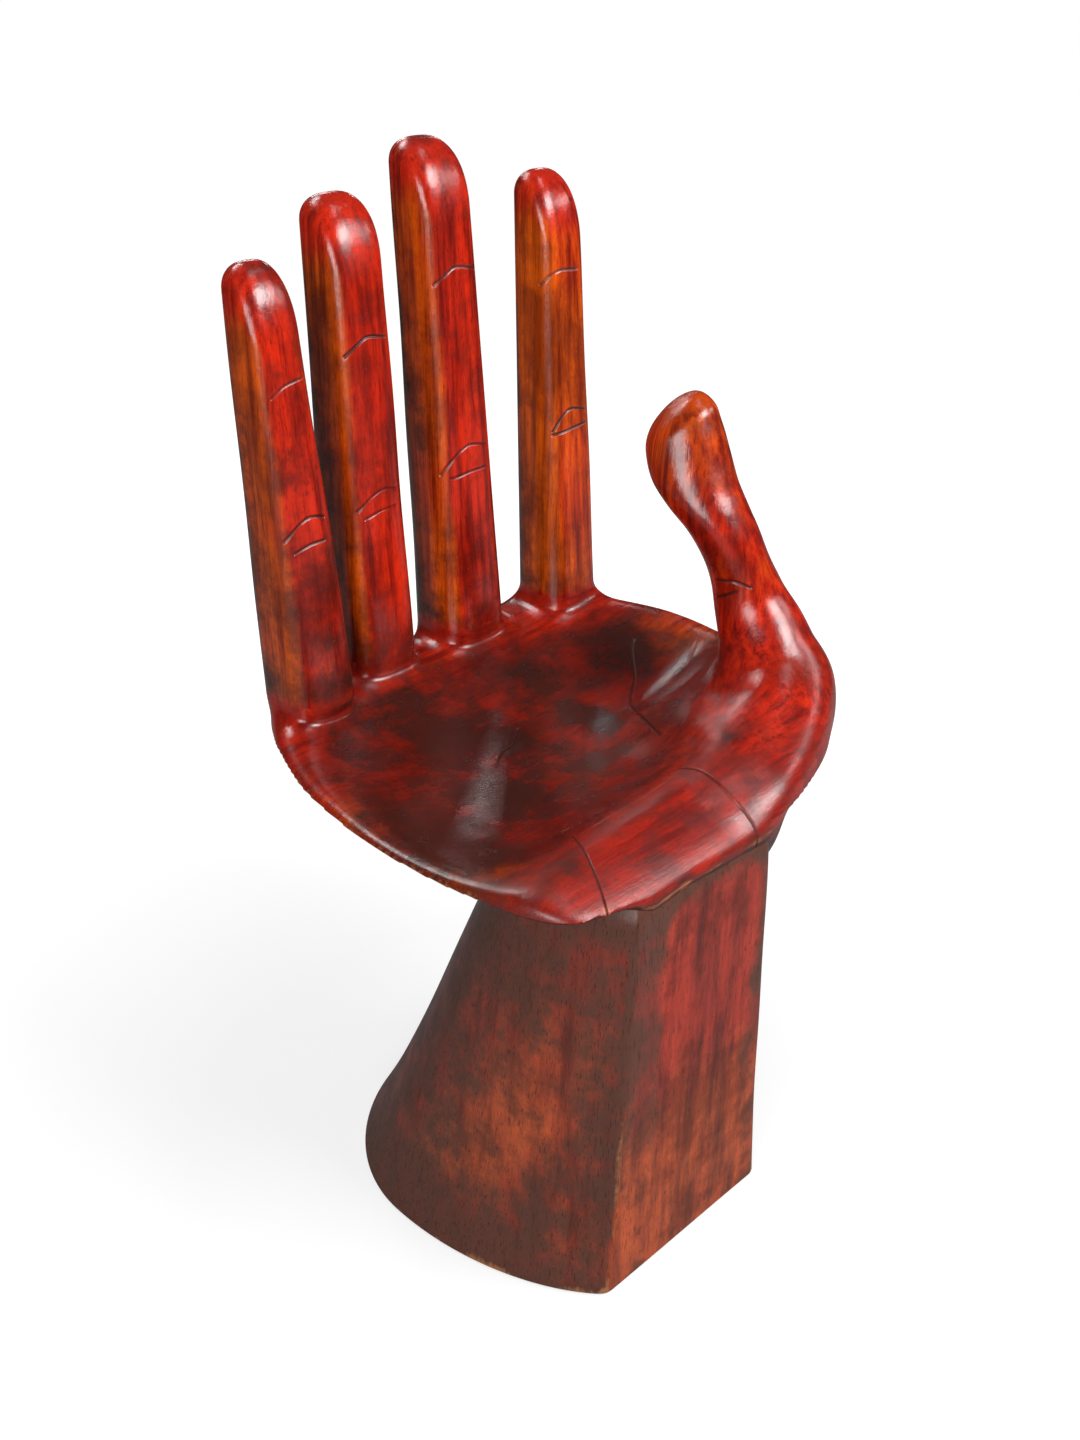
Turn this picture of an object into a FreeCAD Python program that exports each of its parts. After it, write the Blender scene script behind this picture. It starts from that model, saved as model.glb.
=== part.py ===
import FreeCAD, Part
import math
import os
import re
import Sketcher
from FreeCAD import Matrix, Placement, Rotation, Vector

# A seat carved as an open right hand that stands on its wrist.
# Front of the chair is -Y, +X is the thumb side, +Z is up.
# The origin lies on the floor, in the middle of the foot of the wrist.

doc = FreeCAD.newDocument("carved_hand_chair")


# Driving sizes

SIZES = {
    # wrist: an oval cone, planed flat in front; its depths are taken from its widest place
    "foot_half_width": 178.5,
    "foot_widest_back": 20.0,
    "foot_front_depth": 255.0,
    "foot_back_depth": 160.0,
    "front_face": 187.0,
    "waist": 7.0,
    "neck_half_width": 99.8,
    "neck_widest_front": 97.9,
    "neck_front_depth": 145.9,
    "neck_back_depth": 85.9,
    "neck_below_rim": 24.0,
    "housing_below_rim": 61.0,
    "heel_depth": 82.0,
    # seams between the glued boards and blocks
    "left_board_seam": 41.0,
    "right_board_seam": 67.0,
    "side_seam": 70.8,
    "side_seam_angle": 27.6,
    "root_seam": 60.5,
    "root_seam_angle": 38.0,
    # palm: the height of its rim carries everything above the wrist
    "palm_rim_height": 446.0,
    "palm_left": 184.0,
    "palm_right": 304.0,
    "palm_front": 194.0,
    "palm_back": 281.0,
    "edge_below_rim": 16.0,
    "belly_below_rim": 60.0,
    "base_below_rim": 94.0,
    "seat_below_rim": 35.0,
    "hollow_x": 65.0,
    "hollow_y": 45.0,
    "roll_below_rim": 46.0,
    "roll_half_height": 51.0,
    "roll_half_depth": 91.0,
    # fingers: place and width of the root, width of the tip, length and lean
    "finger_seat_rise": 15.0,
    "fingertip_length": 46.0,
    "collar_height": 26.0,
    "collar_reach": 15.0,
    "little_x": -91.0,
    "little_y": 219.0,
    "little_root": 72.0,
    "little_tip": 48.0,
    "little_length": 383.0,
    "little_lean_x": -9.5,
    "little_lean_y": 12.0,
    "ring_x": 3.0,
    "ring_y": 246.5,
    "ring_root": 73.0,
    "ring_tip": 57.5,
    "ring_length": 418.0,
    "ring_lean_x": 3.0,
    "ring_lean_y": 12.5,
    "middle_x": 113.0,
    "middle_y": 242.5,
    "middle_root": 75.0,
    "middle_tip": 58.5,
    "middle_length": 454.0,
    "middle_lean_x": -11.5,
    "middle_lean_y": 12.0,
    "index_x": 233.5,
    "index_y": 224.0,
    "index_root": 68.5,
    "index_tip": 51.5,
    "index_length": 415.0,
    "index_lean_x": -6.0,
    "index_lean_y": 12.5,
    # thumb and the horn-shaped root that carries it
    "thumb_seat_rise": 42.0,
    "thumb_x": 233.0,
    "thumb_y": -52.0,
    "thumb_length": 232.0,
    "thumb_width": 76.0,
    "thumb_lean_in": 33.0,
    "thumb_lean_back": 87.0,
    "thumb_angle": 46.0,
    "root_run": 148.0,
    "root_forward": 80.0,
    "root_below_rim": 36.0,
    "root_bend_angle": 90.0,
    "web_x": 191.0,
    "web_y": -58.0,
    "web_above_rim": 5.0,
    "web_half_length": 76.0,
    "web_half_width": 31.0,
    "web_half_height": 27.0,
    "web_rise_angle": 19.0,
    "half_turn_angle": 180.0,
    # dowels
    "finger_dowel": 22.0,
    "finger_dowel_up": 40.0,
    "finger_dowel_down": 28.0,
    "thumb_dowel": 14.0,
    "thumb_dowel_length": 60.0,
    "thumb_dowel_spacing": 36.0,
    "block_dowel": 14.0,
    "block_dowel_length": 40.0,
    "side_dowel_inset": 22.0,
    "side_dowel_spacing": 30.0,
    "root_dowel_inset": 74.0,
    "root_dowel_spacing": 80.0,
    "root_dowel_below_rim": 44.0,
    "board_dowel": 16.0,
    "board_dowel_length": 60.0,
    "seat_dowel": 18.0,
    "seat_dowel_up": 14.0,
    "seat_dowel_down": 46.0,
    "seat_dowel_inset": 41.0,
    "overrun": 60.0,
}

# Heights and reaches that several pieces share, as formulas of the sizes

NECK_HEIGHT = "(palm_rim_height - neck_below_rim)"
HOUSING_HEIGHT = "(palm_rim_height - housing_below_rim)"
FINGER_SEAT = "(palm_rim_height + finger_seat_rise)"
THUMB_SEAT = "(palm_rim_height + thumb_seat_rise)"
HEEL_SEAM = "(heel_depth - front_face)"
FOOT_BACK = "(foot_widest_back + foot_back_depth)"
FAR = "(palm_left + palm_right)"

sheet = doc.addObject("Spreadsheet::Sheet", "Sizes")
for row, (alias, value) in enumerate(SIZES.items(), start=1):
    sheet.set("A%d" % row, alias.replace("_", " "))
    sheet.set("B%d" % row, str(value))
    sheet.setAlias("B%d" % row, alias)
doc.recompute()


def size(alias):
    """The sheet's value of one size."""
    return float(sheet.get(alias))


def below_rim(depth):
    """Height of what lies a named depth below the rim of the palm."""
    return size("palm_rim_height") - size(depth)


def bind(thing, **formulas):
    """Tie properties to formulas of sizes; a double underscore stands for a dot."""
    for name, formula in formulas.items():
        thing.setExpression(name.replace("__", "."), in_sheet(formula))


def in_sheet(formula):
    """The formula with every size named as a cell of the sheet."""
    return re.sub(r"[a-z_]+", lambda word: "Sizes." * (word[0] in SIZES) + word[0], formula)


def place(thing, x="0", y="0", z="0"):
    """Tie the thing's place to formulas of sizes."""
    bind(thing, Placement__Base__x=x, Placement__Base__y=y, Placement__Base__z=z)


def box(name, x, y, z, length, width, height):
    """A block whose low corner and edges follow the sizes."""
    block = doc.addObject("Part::Box", name)
    bind(block, Length=length, Width=width, Height=height)
    place(block, x, y, z)
    return block


def combine(kind, name, *things):
    """A boolean of two or more things."""
    result = doc.addObject("Part::" + kind, name)
    if kind in ("Cut", "Common"):
        result.Base, result.Tool = things
    else:
        result.Shapes = list(things)
    result.Refine = False
    return result


def wire(name, shape):
    """A closed outline kept in the document for a loft."""
    outline = doc.addObject("Part::Feature", name)
    outline.Shape = shape
    return outline


def loft(name, *outlines, ruled=False):
    """A solid through closed outlines, from the lowest to the highest."""
    solid = doc.addObject("Part::Loft", name)
    solid.Sections = list(outlines)
    solid.Solid = True
    solid.Ruled = ruled
    return solid


def half_oval(half_width, depth, middle, first_angle):
    """Half an oval from an angle on, as half a unit circle that is stretched."""
    arc = Part.ArcOfCircle(Part.Circle(), first_angle, first_angle + math.pi)
    stretch = Matrix()
    stretch.scale(half_width, depth, 1)
    stretch.move(middle)
    return arc.toShape().transformGeometry(stretch)


def oval(half_width, front_depth, back_depth, middle):
    """A flat oval of two halves that meet at its widest place."""
    behind = half_oval(half_width, back_depth, middle, 0)
    before = half_oval(half_width, front_depth, middle, math.pi)
    return Part.Wire(behind.Edges + before.Edges)


# Closed outlines of the palm, as shares of its width and depth, round the left way

PALM_EDGE_SHARES = [
    (0.336, 0.0), (0.154, 0.008), (0.059, 0.088), (0.024, 0.215), (0.0, 0.383), (0.004, 0.547),
    (0.031, 0.703), (0.082, 0.842), (0.139, 0.928), (0.234, 0.992), (0.439, 1.0), (0.623, 0.996),
    (0.797, 0.973), (0.91, 0.909), (0.959, 0.777), (0.996, 0.651), (1.0, 0.566), (0.945, 0.345),
    (0.82, 0.154), (0.631, 0.034), (0.531, 0.006),
]
HOLLOW_EDGE_SHARES = [
    (0.336, 0.181), (0.203, 0.173), (0.1, 0.187), (0.039, 0.261), (0.016, 0.366), (0.025, 0.566),
    (0.059, 0.745), (0.162, 0.829), (0.377, 0.846), (0.602, 0.842), (0.787, 0.798),
    (0.875, 0.724), (0.945, 0.608), (0.951, 0.503), (0.832, 0.398), (0.664, 0.293),
    (0.531, 0.215),
]


def palm_outline(shares, spread, level):
    """The outline shrunk towards the middle of the hollow and set at a level."""
    middle = Vector(size("hollow_x"), size("hollow_y"), level)
    corner = Vector(-size("palm_left"), -size("palm_front"), level)
    across = size("palm_left") + size("palm_right")
    along = size("palm_front") + size("palm_back")
    points = [corner + Vector(across * right, along * back, 0) for right, back in shares]
    curve = Part.BSplineCurve()
    curve.interpolate(Points=[middle + (point - middle) * spread for point in points],
                      PeriodicFlag=True)
    return Part.Wire(curve.toShape())


# Wrist: oval cone with a flat front, let into the palm behind the heel

foot = wire("foot_outline", oval(
    size("foot_half_width"), size("foot_front_depth"), size("foot_back_depth"),
    Vector(0, size("foot_widest_back"), 0)))
neck = wire("neck_outline", oval(
    size("neck_half_width"), size("neck_front_depth"), size("neck_back_depth"),
    Vector(0, -size("neck_widest_front"), below_rim("neck_below_rim"))))

# Half way up, the wrist is drawn in by the waist from the straight line between the two.
waist = wire("waist_outline", oval(
    (size("foot_half_width") + size("neck_half_width")) / 2 - size("waist"),
    (size("foot_front_depth") + size("neck_front_depth")) / 2,
    (size("foot_back_depth") + size("neck_back_depth")) / 2 - size("waist"),
    Vector(0, (size("foot_widest_back") - size("neck_widest_front")) / 2,
           below_rim("neck_below_rim") / 2)))
cone = loft("wrist_cone", foot, waist, neck)

behind_front = box(
    "behind_front_face", "-2 * foot_half_width", "-front_face", "-overrun",
    "4 * foot_half_width", "front_face + overrun + " + FOOT_BACK, NECK_HEIGHT + " + 2 * overrun")
planed = combine("Common", "wrist_planed", cone, behind_front)
above_housing = box(
    "above_housing", "-2 * foot_half_width", HEEL_SEAM, HOUSING_HEIGHT,
    "4 * foot_half_width", "front_face + " + FOOT_BACK, NECK_HEIGHT)
wrist = combine("Cut", "wrist_form", planed, above_housing)


# Palm form: bowl-shaped blank with the heel rolled over and the seat hollowed out

BELLY_SHARES = {"base_below_rim": 0.58, "belly_below_rim": 0.8, "edge_below_rim": 1.0}
RIM_SHARE = 0.968
blank = loft(
    "palm_blank",
    *[wire("palm_outline_" + depth, palm_outline(PALM_EDGE_SHARES, spread, below_rim(depth)))
      for depth, spread in BELLY_SHARES.items()],
    wire("palm_outline_rim", palm_outline(PALM_EDGE_SHARES, RIM_SHARE, size("palm_rim_height"))))

# The heel is a roll along X, as high as the rim, whose crest runs along the heel seam.
roll_outline = oval(
    size("roll_half_depth"), size("roll_half_height"), size("roll_half_height"), Vector())
roll = doc.addObject("Part::Extrusion", "heel_roll")
roll.Base = wire("heel_roll_outline", roll_outline)
roll.DirMode = "Custom"
roll.Dir = Vector(0, 0, 1)
roll.Solid = True
roll.Placement.Rotation = Rotation(Vector(0, 1, 0), Vector(0, 0, 1), Vector(1, 0, 0), "ZXY")
bind(roll, LengthFwd=FAR + " + 2 * overrun")
place(roll, "-palm_left - overrun", HEEL_SEAM, "palm_rim_height - roll_below_rim")

behind_crest = box(
    "behind_crest", "-palm_left - overrun", HEEL_SEAM, "0",
    FAR + " + 2 * overrun", "palm_front + palm_back + overrun", "2 * palm_rim_height")
rolled = combine(
    "Common", "palm_rolled", blank, combine("MultiFuse", "roll_and_back", roll, behind_crest))

# The hollow deepens towards its middle as a power of the way in from its edge.
HOLLOW_SHARES = [0.35, 0.65, 0.85, 1.0, 1.1]
HOLLOW_POWER_SHARE = 2.6


def hollow_level(share):
    """Height of the seat at a share of the way out from its middle."""
    return below_rim("seat_below_rim") + size("seat_below_rim") * share ** HOLLOW_POWER_SHARE


hollow = loft("seat_hollow", *[
    wire("hollow_outline_%d" % number, palm_outline(HOLLOW_EDGE_SHARES, share, hollow_level(share)))
    for number, share in enumerate(HOLLOW_SHARES)])


# Fingers, thumb and their roots: bodies lofted through rounded sections

# A square with sides of 4 and corners of 1, from which each section starts.
START_SHARES = {"width": 4, "depth": 4, "corner": 1}


def rounded_section(body, name, level, x, y, width, depth, corner):
    """A rounded rectangle across the body, centred on x, y at a level; all are formulas."""
    sketch = body.newObject("Sketcher::SketchObject", name)
    plane = [f for f in body.Origin.OriginFeatures if f.Role == "XY_Plane"][0]
    sketch.AttachmentSupport = [(plane, "")]
    sketch.MapMode = "FlatFace"
    bind(sketch, AttachmentOffset__Base__x=x, AttachmentOffset__Base__y=y,
         AttachmentOffset__Base__z=level)
    # Arcs 0, 2, 4 and 6 from the back right corner, and the side after each, round the left way.
    right, back = Vector(1, 0, 0), Vector(0, 1, 0)
    for quarter in range(4):
        turn = Rotation(Vector(0, 0, 1), 90 * quarter)
        circle = Part.Circle(turn.multVec(right + back), Vector(0, 0, 1), 1)
        start = quarter * math.pi / 2
        sketch.addGeometry(Part.ArcOfCircle(circle, start, start + math.pi / 2))
        sketch.addGeometry(Part.LineSegment(
            turn.multVec(right + back + back), turn.multVec(back + back - right)))
    for number in range(8):
        join = Sketcher.Constraint("Tangent", number, 2, (number + 1) % 8, 1)
        sketch.addConstraint(join)
    back_side, left_side, front_side, right_side = 1, 3, 5, 7
    sketch.addConstraint(Sketcher.Constraint("Horizontal", front_side))
    sketch.addConstraint(Sketcher.Constraint("Vertical", left_side))
    for arc in (0, 2, 4):
        sketch.addConstraint(Sketcher.Constraint("Equal", arc, arc + 2))
    sketch.addConstraint(Sketcher.Constraint("Symmetric", back_side, 1, back_side, 2, -2))
    sketch.addConstraint(Sketcher.Constraint("Symmetric", right_side, 1, right_side, 2, -1))
    named = (("width", "DistanceX", (left_side, 1, right_side, 1), width),
             ("depth", "DistanceY", (front_side, 1, back_side, 1), depth),
             ("corner", "Radius", (0,), corner))
    for label, kind, ends, formula in named:
        index = sketch.addConstraint(Sketcher.Constraint(kind, *ends, START_SHARES[label]))
        sketch.renameConstraint(index, label)
        sketch.setExpression("Constraints." + label, in_sheet(formula))
    return sketch


def body_loft(body, name, sections, ruled=False):
    """Adds a loft through the sections to the body."""
    solid = body.newObject("PartDesign::AdditiveLoft", name)
    solid.Profile = sections[0]
    solid.Sections = sections[1:]
    solid.Ruled = ruled
    body.Tip = solid
    return solid


def bore(body, name, diameter, depth, x="0"):
    """A blind round hole up into the body from its seat."""
    sketch = body.newObject("Sketcher::SketchObject", name + "_circle")
    plane = [f for f in body.Origin.OriginFeatures if f.Role == "XY_Plane"][0]
    sketch.AttachmentSupport = [(plane, "")]
    sketch.MapMode = "FlatFace"
    bind(sketch, AttachmentOffset__Base__x=x)
    sketch.addGeometry(Part.Circle(Vector(), Vector(0, 0, 1), 1))
    sketch.addConstraint(Sketcher.Constraint("Coincident", 0, 3, -1, 1))
    index = sketch.addConstraint(Sketcher.Constraint("Diameter", 0, 1))
    sketch.renameConstraint(index, "diameter")
    sketch.setExpression("Constraints.diameter", in_sheet(diameter))
    pocket = body.newObject("PartDesign::Pocket", name)
    pocket.Profile = sketch
    pocket.Reversed = True
    bind(pocket, Length=depth)
    body.Tip = pocket
    return pocket


# Fingertip: how far below the top each section lies, and how much of the width it keeps.
# The back of the finger stays straight and the pad side curves over.
FINGERTIP_SHARES = [
    # below top, depth kept, width kept
    (1.0, 1.0, 1.0), (0.55, 0.92, 0.98), (0.2, 0.72, 0.91), (0.0, 0.42, 0.72)]
FINGER_CORNER_SHARE = 0.3
FINGERS = ("little", "ring", "middle", "index")


def finger_width(name, way):
    """Formula of a finger's width at a share of the way from its seat to its top."""
    return "(%s_root + (%s_tip - %s_root) * (%s))" % (name, name, name, way)


def finger(name):
    """One finger: a tapered square shank with rounded corners and a curved-over tip."""
    body = doc.addObject("PartDesign::Body", name + "_finger")
    body.Label = name + "_finger"
    root_width = name + "_root"
    root = rounded_section(body, name + "_root_section", "0", "0", "0", root_width, root_width,
                           "%s * %s" % (FINGER_CORNER_SHARE, root_width))
    sections = []
    for number, (below, depth_kept, width_kept) in enumerate(FINGERTIP_SHARES):
        level = "(%s_length - %s * fingertip_length)" % (name, below)
        way = "%s / %s_length" % (level, name)
        width = finger_width(name, way)
        back = "%s_lean_y * %s + %s * %s / 2" % (name, way, 1 - depth_kept, width)
        corner = "%s * %s" % (FINGER_CORNER_SHARE * min(depth_kept, width_kept), width)
        sections.append(rounded_section(
            body, "%s_tip_section_%d" % (name, number), level, "%s_lean_x * %s" % (name, way),
            back, "%s * %s" % (width_kept, width), "%s * %s" % (depth_kept, width), corner))
    doc.recompute()
    body_loft(body, name + "_shank", [root, sections[0]], ruled=True)
    body_loft(body, name + "_fingertip", sections)
    doc.recompute()
    bore(body, name + "_finger_bore", "finger_dowel", "finger_dowel_up")
    place(body, name + "_x", name + "_y", FINGER_SEAT)
    return body


fingers = [finger(name) for name in FINGERS]


# Knuckle: share of the collar's height below the seat, and of its reach outwards.
COLLAR_SHARES = [(1.0, 1.0), (0.5, 0.3), (0.0, 0.0)]


def collar(name):
    """The raised knuckle under a finger: flares out to the front and sides, flush behind."""
    body = doc.addObject("PartDesign::Body", name + "_collar")
    sections = []
    for number, (down, out) in enumerate(COLLAR_SHARES):
        sections.append(rounded_section(
            body, "%s_collar_section_%d" % (name, number), "-collar_height * %s" % down,
            "0", "-collar_reach * %s / 2" % out, "%s_root + 2 * collar_reach * %s" % (name, out),
            "%s_root + collar_reach * %s" % (name, out),
            "%s * %s_root + collar_reach * %s / 2" % (FINGER_CORNER_SHARE, name, out)))
    doc.recompute()
    body_loft(body, name + "_collar_loft", sections[::-1])
    place(body, name + "_x", name + "_y", FINGER_SEAT)
    return body


collars = [collar(name) for name in FINGERS]

# Thumb path: share of the height, then of the lean inwards and back, then widths kept.
THUMB_SHARES = [
    # up, inwards, back, width kept towards the palm and along it
    (0.0, 0.0, 0.0, 1.187, 1.09), (0.128, 0.03, 0.161, 1.04, 0.974), (0.251, 0.121, 0.293, 0.908, 0.908),
    (0.357, 0.348, 0.385, 0.855, 0.882), (0.472, 0.621, 0.506, 0.908, 0.882),
    (0.6, 0.909, 0.701, 1.008, 0.863), (0.746, 0.985, 0.885, 1.0, 0.816),
    (0.86, 0.997, 0.954, 0.895, 0.729), (0.95, 0.79, 0.921, 0.56, 0.58), (1.0, 0.742, 0.908, 0.3, 0.36)]
THUMB_CORNER_SHARE = 0.44

# Root of the thumb: a horn that swells from the heel seam, along the mound, and bends up.
ROOT_SHARES = [
    # towards the little finger, forward, down, bend, width kept
    (1.0, 1.0, 1.0, 0.88, 1.04), (0.757, 0.875, 0.878, 0.86, 1.13), (0.514, 0.75, 0.756, 0.8, 1.13),
    (0.291, 0.6, 0.628, 0.7, 1.18), (0.071, 0.394, 0.487, 0.5, 1.25), (0.01, 0.19, 0.25, 0.22, 1.2),
    (0.0, 0.0, 0.0, 0.0, 1.187)]
ROOT_DEPTH_SHARE = 0.918


def turned_place(east, north):
    """Formulas of a place in the thumb's own axes, which are turned to face the palm."""
    cosine, sine = "cos(thumb_angle * 1 deg)", "sin(thumb_angle * 1 deg)"
    return ("%s * %s + %s * %s" % (east, cosine, north, sine),
            "%s * %s - %s * %s" % (north, cosine, east, sine))


def thumb_section(number, up, inwards, back, wide, deep):
    """One section across the thumb."""
    x, y = turned_place("(-thumb_lean_in * %s)" % inwards, "(thumb_lean_back * %s)" % back)
    return rounded_section(
        thumb, "thumb_section_%d" % number, "thumb_length * %s" % up, x, y,
        "%s * thumb_width" % deep, "%s * thumb_width" % wide,
        "%s * thumb_width" % (THUMB_CORNER_SHARE * min(deep, wide)))


def root_section(number, west, forward, down, bend, wide):
    """One section across the root, tipped over until it faces along the heel."""
    x, y = turned_place("(-root_run * %s)" % west, "(-root_forward * %s)" % forward)
    section = rounded_section(
        root, "root_section_%d" % number, "-(thumb_seat_rise + root_below_rim) * %s" % down, x, y,
        "%s * thumb_width" % (wide * ROOT_DEPTH_SHARE), "%s * thumb_width" % wide,
        "%s * thumb_width" % (wide * THUMB_CORNER_SHARE * ROOT_DEPTH_SHARE))
    along_heel = Rotation(Vector(0, 0, 1), -size("thumb_angle")).multVec(Vector(0, 1, 0))
    section.AttachmentOffset.Rotation = Rotation(along_heel, bend * size("root_bend_angle"))
    return section


def seat_on_thumb_place(body):
    """Turns a body to face the palm and sets it at the seat of the thumb."""
    body.Placement.Rotation = Rotation(Vector(0, 0, 1), size("thumb_angle"))
    place(body, "thumb_x", "thumb_y", THUMB_SEAT)


thumb = doc.addObject("PartDesign::Body", "thumb")
thumb.Label = "thumb"
thumb_sections = [thumb_section(number, *row) for number, row in enumerate(THUMB_SHARES)]
doc.recompute()
body_loft(thumb, "thumb_loft", thumb_sections)
doc.recompute()
for side, sign in (("inner", "-"), ("outer", "")):
    bore(thumb, "thumb_bore_" + side, "thumb_dowel", "thumb_dowel_length / 2",
         sign + "thumb_dowel_spacing / 2")
seat_on_thumb_place(thumb)

root = doc.addObject("PartDesign::Body", "thumb_root_form")
root_sections = [root_section(number, *row) for number, row in enumerate(ROOT_SHARES)]
doc.recompute()
body_loft(root, "root_loft", root_sections)
seat_on_thumb_place(root)

# The web fills the crook between the thumb and the hollow, and is hollowed with the palm.
web = doc.addObject("Part::Ellipsoid", "web")
bind(web, Radius1="web_half_height", Radius2="web_half_length", Radius3="web_half_width")
risen = Rotation(Vector(0, -1, 0), size("web_rise_angle"))
web.Placement.Rotation = Rotation(Vector(0, 0, 1), size("root_seam_angle")) * risen
place(web, "web_x", "web_y", "palm_rim_height + web_above_rim")
webbed = combine("MultiFuse", "webbed_palm", rolled, web)
palm_form = combine("Cut", "palm_form", webbed, hollow)

# The outer knuckles end flush with the edge of the palm.
knuckle_limits = loft(
    "knuckle_limits",
    wire("knuckle_limit_low", palm_outline(PALM_EDGE_SHARES, 1, below_rim("base_below_rim"))),
    wire("knuckle_limit_high", palm_outline(
        PALM_EDGE_SHARES, 1, size("palm_rim_height") + size("finger_seat_rise"))),
    ruled=True)
little_collar, ring_collar, middle_collar, index_collar = collars
outer_collars = combine("Common", "outer_collars", combine(
    "MultiFuse", "outer_collars_uncut", little_collar, index_collar), knuckle_limits)
palm_full = combine(
    "MultiFuse", "palm_full", palm_form, root, outer_collars, ring_collar, middle_collar)


# Blanks of the glued blocks: each block is what its blank holds of the palm form

def turned_box(name, x, y, angle, length, width, height):
    """A block that stands on the floor, turned about its low corner."""
    block = box(name, x, y, "0", length, width, height)
    block.Placement.Rotation = Rotation(Vector(0, 0, 1), angle)
    return block


BLANK_HEIGHT = "2 * palm_rim_height"
before_heel_seam = box(
    "before_heel_seam", "-" + FAR, "-palm_front - overrun", "0", FAR + " + root_seam",
    "palm_front + overrun + " + HEEL_SEAM, BLANK_HEIGHT)
left_of_side_seam = turned_box(
    "left_of_side_seam", "-side_seam", HEEL_SEAM, size("half_turn_angle") - size("side_seam_angle"), FAR, FAR,
    BLANK_HEIGHT)
side_blank = combine("Common", "side_blank", before_heel_seam, left_of_side_seam)
heel_blank = combine("Cut", "heel_blank", before_heel_seam, left_of_side_seam)
right_of_seam = box(
    "right_of_seam", "root_seam", "-palm_front - overrun", "0",
    FAR, "palm_front + palm_back + overrun", BLANK_HEIGHT)
ROOT_COS, ROOT_SIN = "cos(root_seam_angle * 1 deg)", "sin(root_seam_angle * 1 deg)"
before_root_seam = turned_box(
    "before_root_seam",
    "root_seam + %s * %s - overrun * %s" % (FAR, ROOT_SIN, ROOT_COS),
    "%s - %s * %s - overrun * %s" % (HEEL_SEAM, FAR, ROOT_COS, ROOT_SIN),
    size("root_seam_angle"), "2 * " + FAR, FAR, BLANK_HEIGHT)
root_blank = combine("Common", "root_blank", right_of_seam, before_root_seam)


# Dowels: each group is cut out of the blocks that it holds together

def rod(name, diameter, length, x, y, z, direction=Vector(0, 0, 1)):
    """A round rod from a point, along a direction."""
    cylinder = doc.addObject("Part::Cylinder", name)
    bind(cylinder, Radius=diameter + " / 2", Height=length)
    cylinder.Placement.Rotation = Rotation(Vector(0, 0, 1), direction)
    place(cylinder, x, y, z)
    return cylinder


def thumb_rod(side, sign):
    """A dowel beside the middle of the thumb's seat, inwards or outwards."""
    off = sign + " thumb_dowel_spacing / 2 * "
    return rod(
        "thumb_dowel_" + side, "thumb_dowel", "thumb_dowel_length",
        "thumb_x" + off + "cos(thumb_angle * 1 deg)", "thumb_y" + off + "sin(thumb_angle * 1 deg)",
        THUMB_SEAT + " - thumb_dowel_length / 2")


def board_rod(side, seam, number, share):
    """A level dowel through a seam of the wrist, at a share of the neck's height."""
    return rod("board_dowel_%s_%d" % (side, number), "board_dowel", "board_dowel_length",
               seam + " - board_dowel_length / 2", HEEL_SEAM, "%s * %s" % (NECK_HEIGHT, share),
               Vector(1, 0, 0))


def root_rod(side, inset):
    """A level dowel square to the seam of the thumb's root, an inset along that seam."""
    across = Rotation(Vector(0, 0, 1), size("root_seam_angle")).multVec(Vector(0, 1, 0))
    return rod("root_dowel_" + side, "block_dowel", "block_dowel_length",
               "root_seam + %s * %s + block_dowel_length / 2 * %s" % (inset, ROOT_COS, ROOT_SIN),
               "%s + %s * %s - block_dowel_length / 2 * %s" % (HEEL_SEAM, inset, ROOT_SIN, ROOT_COS),
               "palm_rim_height - root_dowel_below_rim", across)


BOARD_DOWEL_SHARES = (0.2, 0.5, 0.8)
SEAT_DOWEL_SHARES = {"left": -0.8, "middle": 0.0, "right": 0.85}
finger_rods = [
    rod(name + "_dowel", "finger_dowel", "finger_dowel_up + finger_dowel_down",
        name + "_x", name + "_y", FINGER_SEAT + " - finger_dowel_down")
    for name in FINGERS]
thumb_rods = [thumb_rod("inner", "-"), thumb_rod("outer", "+")]
board_rods = [
    board_rod(side, seam, number, share)
    for side, seam in (("left", "-left_board_seam"), ("right", "right_board_seam"))
    for number, share in enumerate(BOARD_DOWEL_SHARES)]
seat_rods = [
    rod("seat_dowel_" + side, "seat_dowel", "seat_dowel_up + seat_dowel_down",
        "neck_half_width * %s" % share, HEEL_SEAM + " + seat_dowel_inset",
        HOUSING_HEIGHT + " - seat_dowel_down")
    for side, share in SEAT_DOWEL_SHARES.items()]
heel_rods = [
    rod("heel_dowel_" + side, "block_dowel", "block_dowel_length", x,
        HEEL_SEAM + " - heel_depth / 2", NECK_HEIGHT + " - block_dowel_length / 2")
    for side, x in (("left", "-side_seam / 2"), ("right", "root_seam / 2"))]
side_rods = [
    rod("side_dowel_" + side, "block_dowel", "block_dowel_length", x,
        HEEL_SEAM + " - block_dowel_length / 2", "palm_rim_height - edge_below_rim - block_dowel",
        Vector(0, 1, 0))
    for side, x in (("inner", "-side_seam - side_dowel_inset"),
                    ("outer", "-side_seam - side_dowel_inset - side_dowel_spacing"))]
root_rods = [root_rod("inner", "root_dowel_inset"),
             root_rod("outer", "(root_dowel_inset + root_dowel_spacing)")]

all_rods = combine("MultiFuse", "all_bores", *finger_rods, *thumb_rods, *board_rods, *seat_rods,
                   *heel_rods, *side_rods, *root_rods)


# The kept pieces

def block(name, held_by):
    """A palm block: its blank's share of the palm form, fitted to the wrist and bored."""
    carved = combine("Common", name + "_carved", palm_full, held_by)
    fitted = combine("Cut", name + "_fitted", carved, wrist)
    bored = combine("Cut", name, fitted, all_rods)
    bored.Label = name
    return bored


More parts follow.
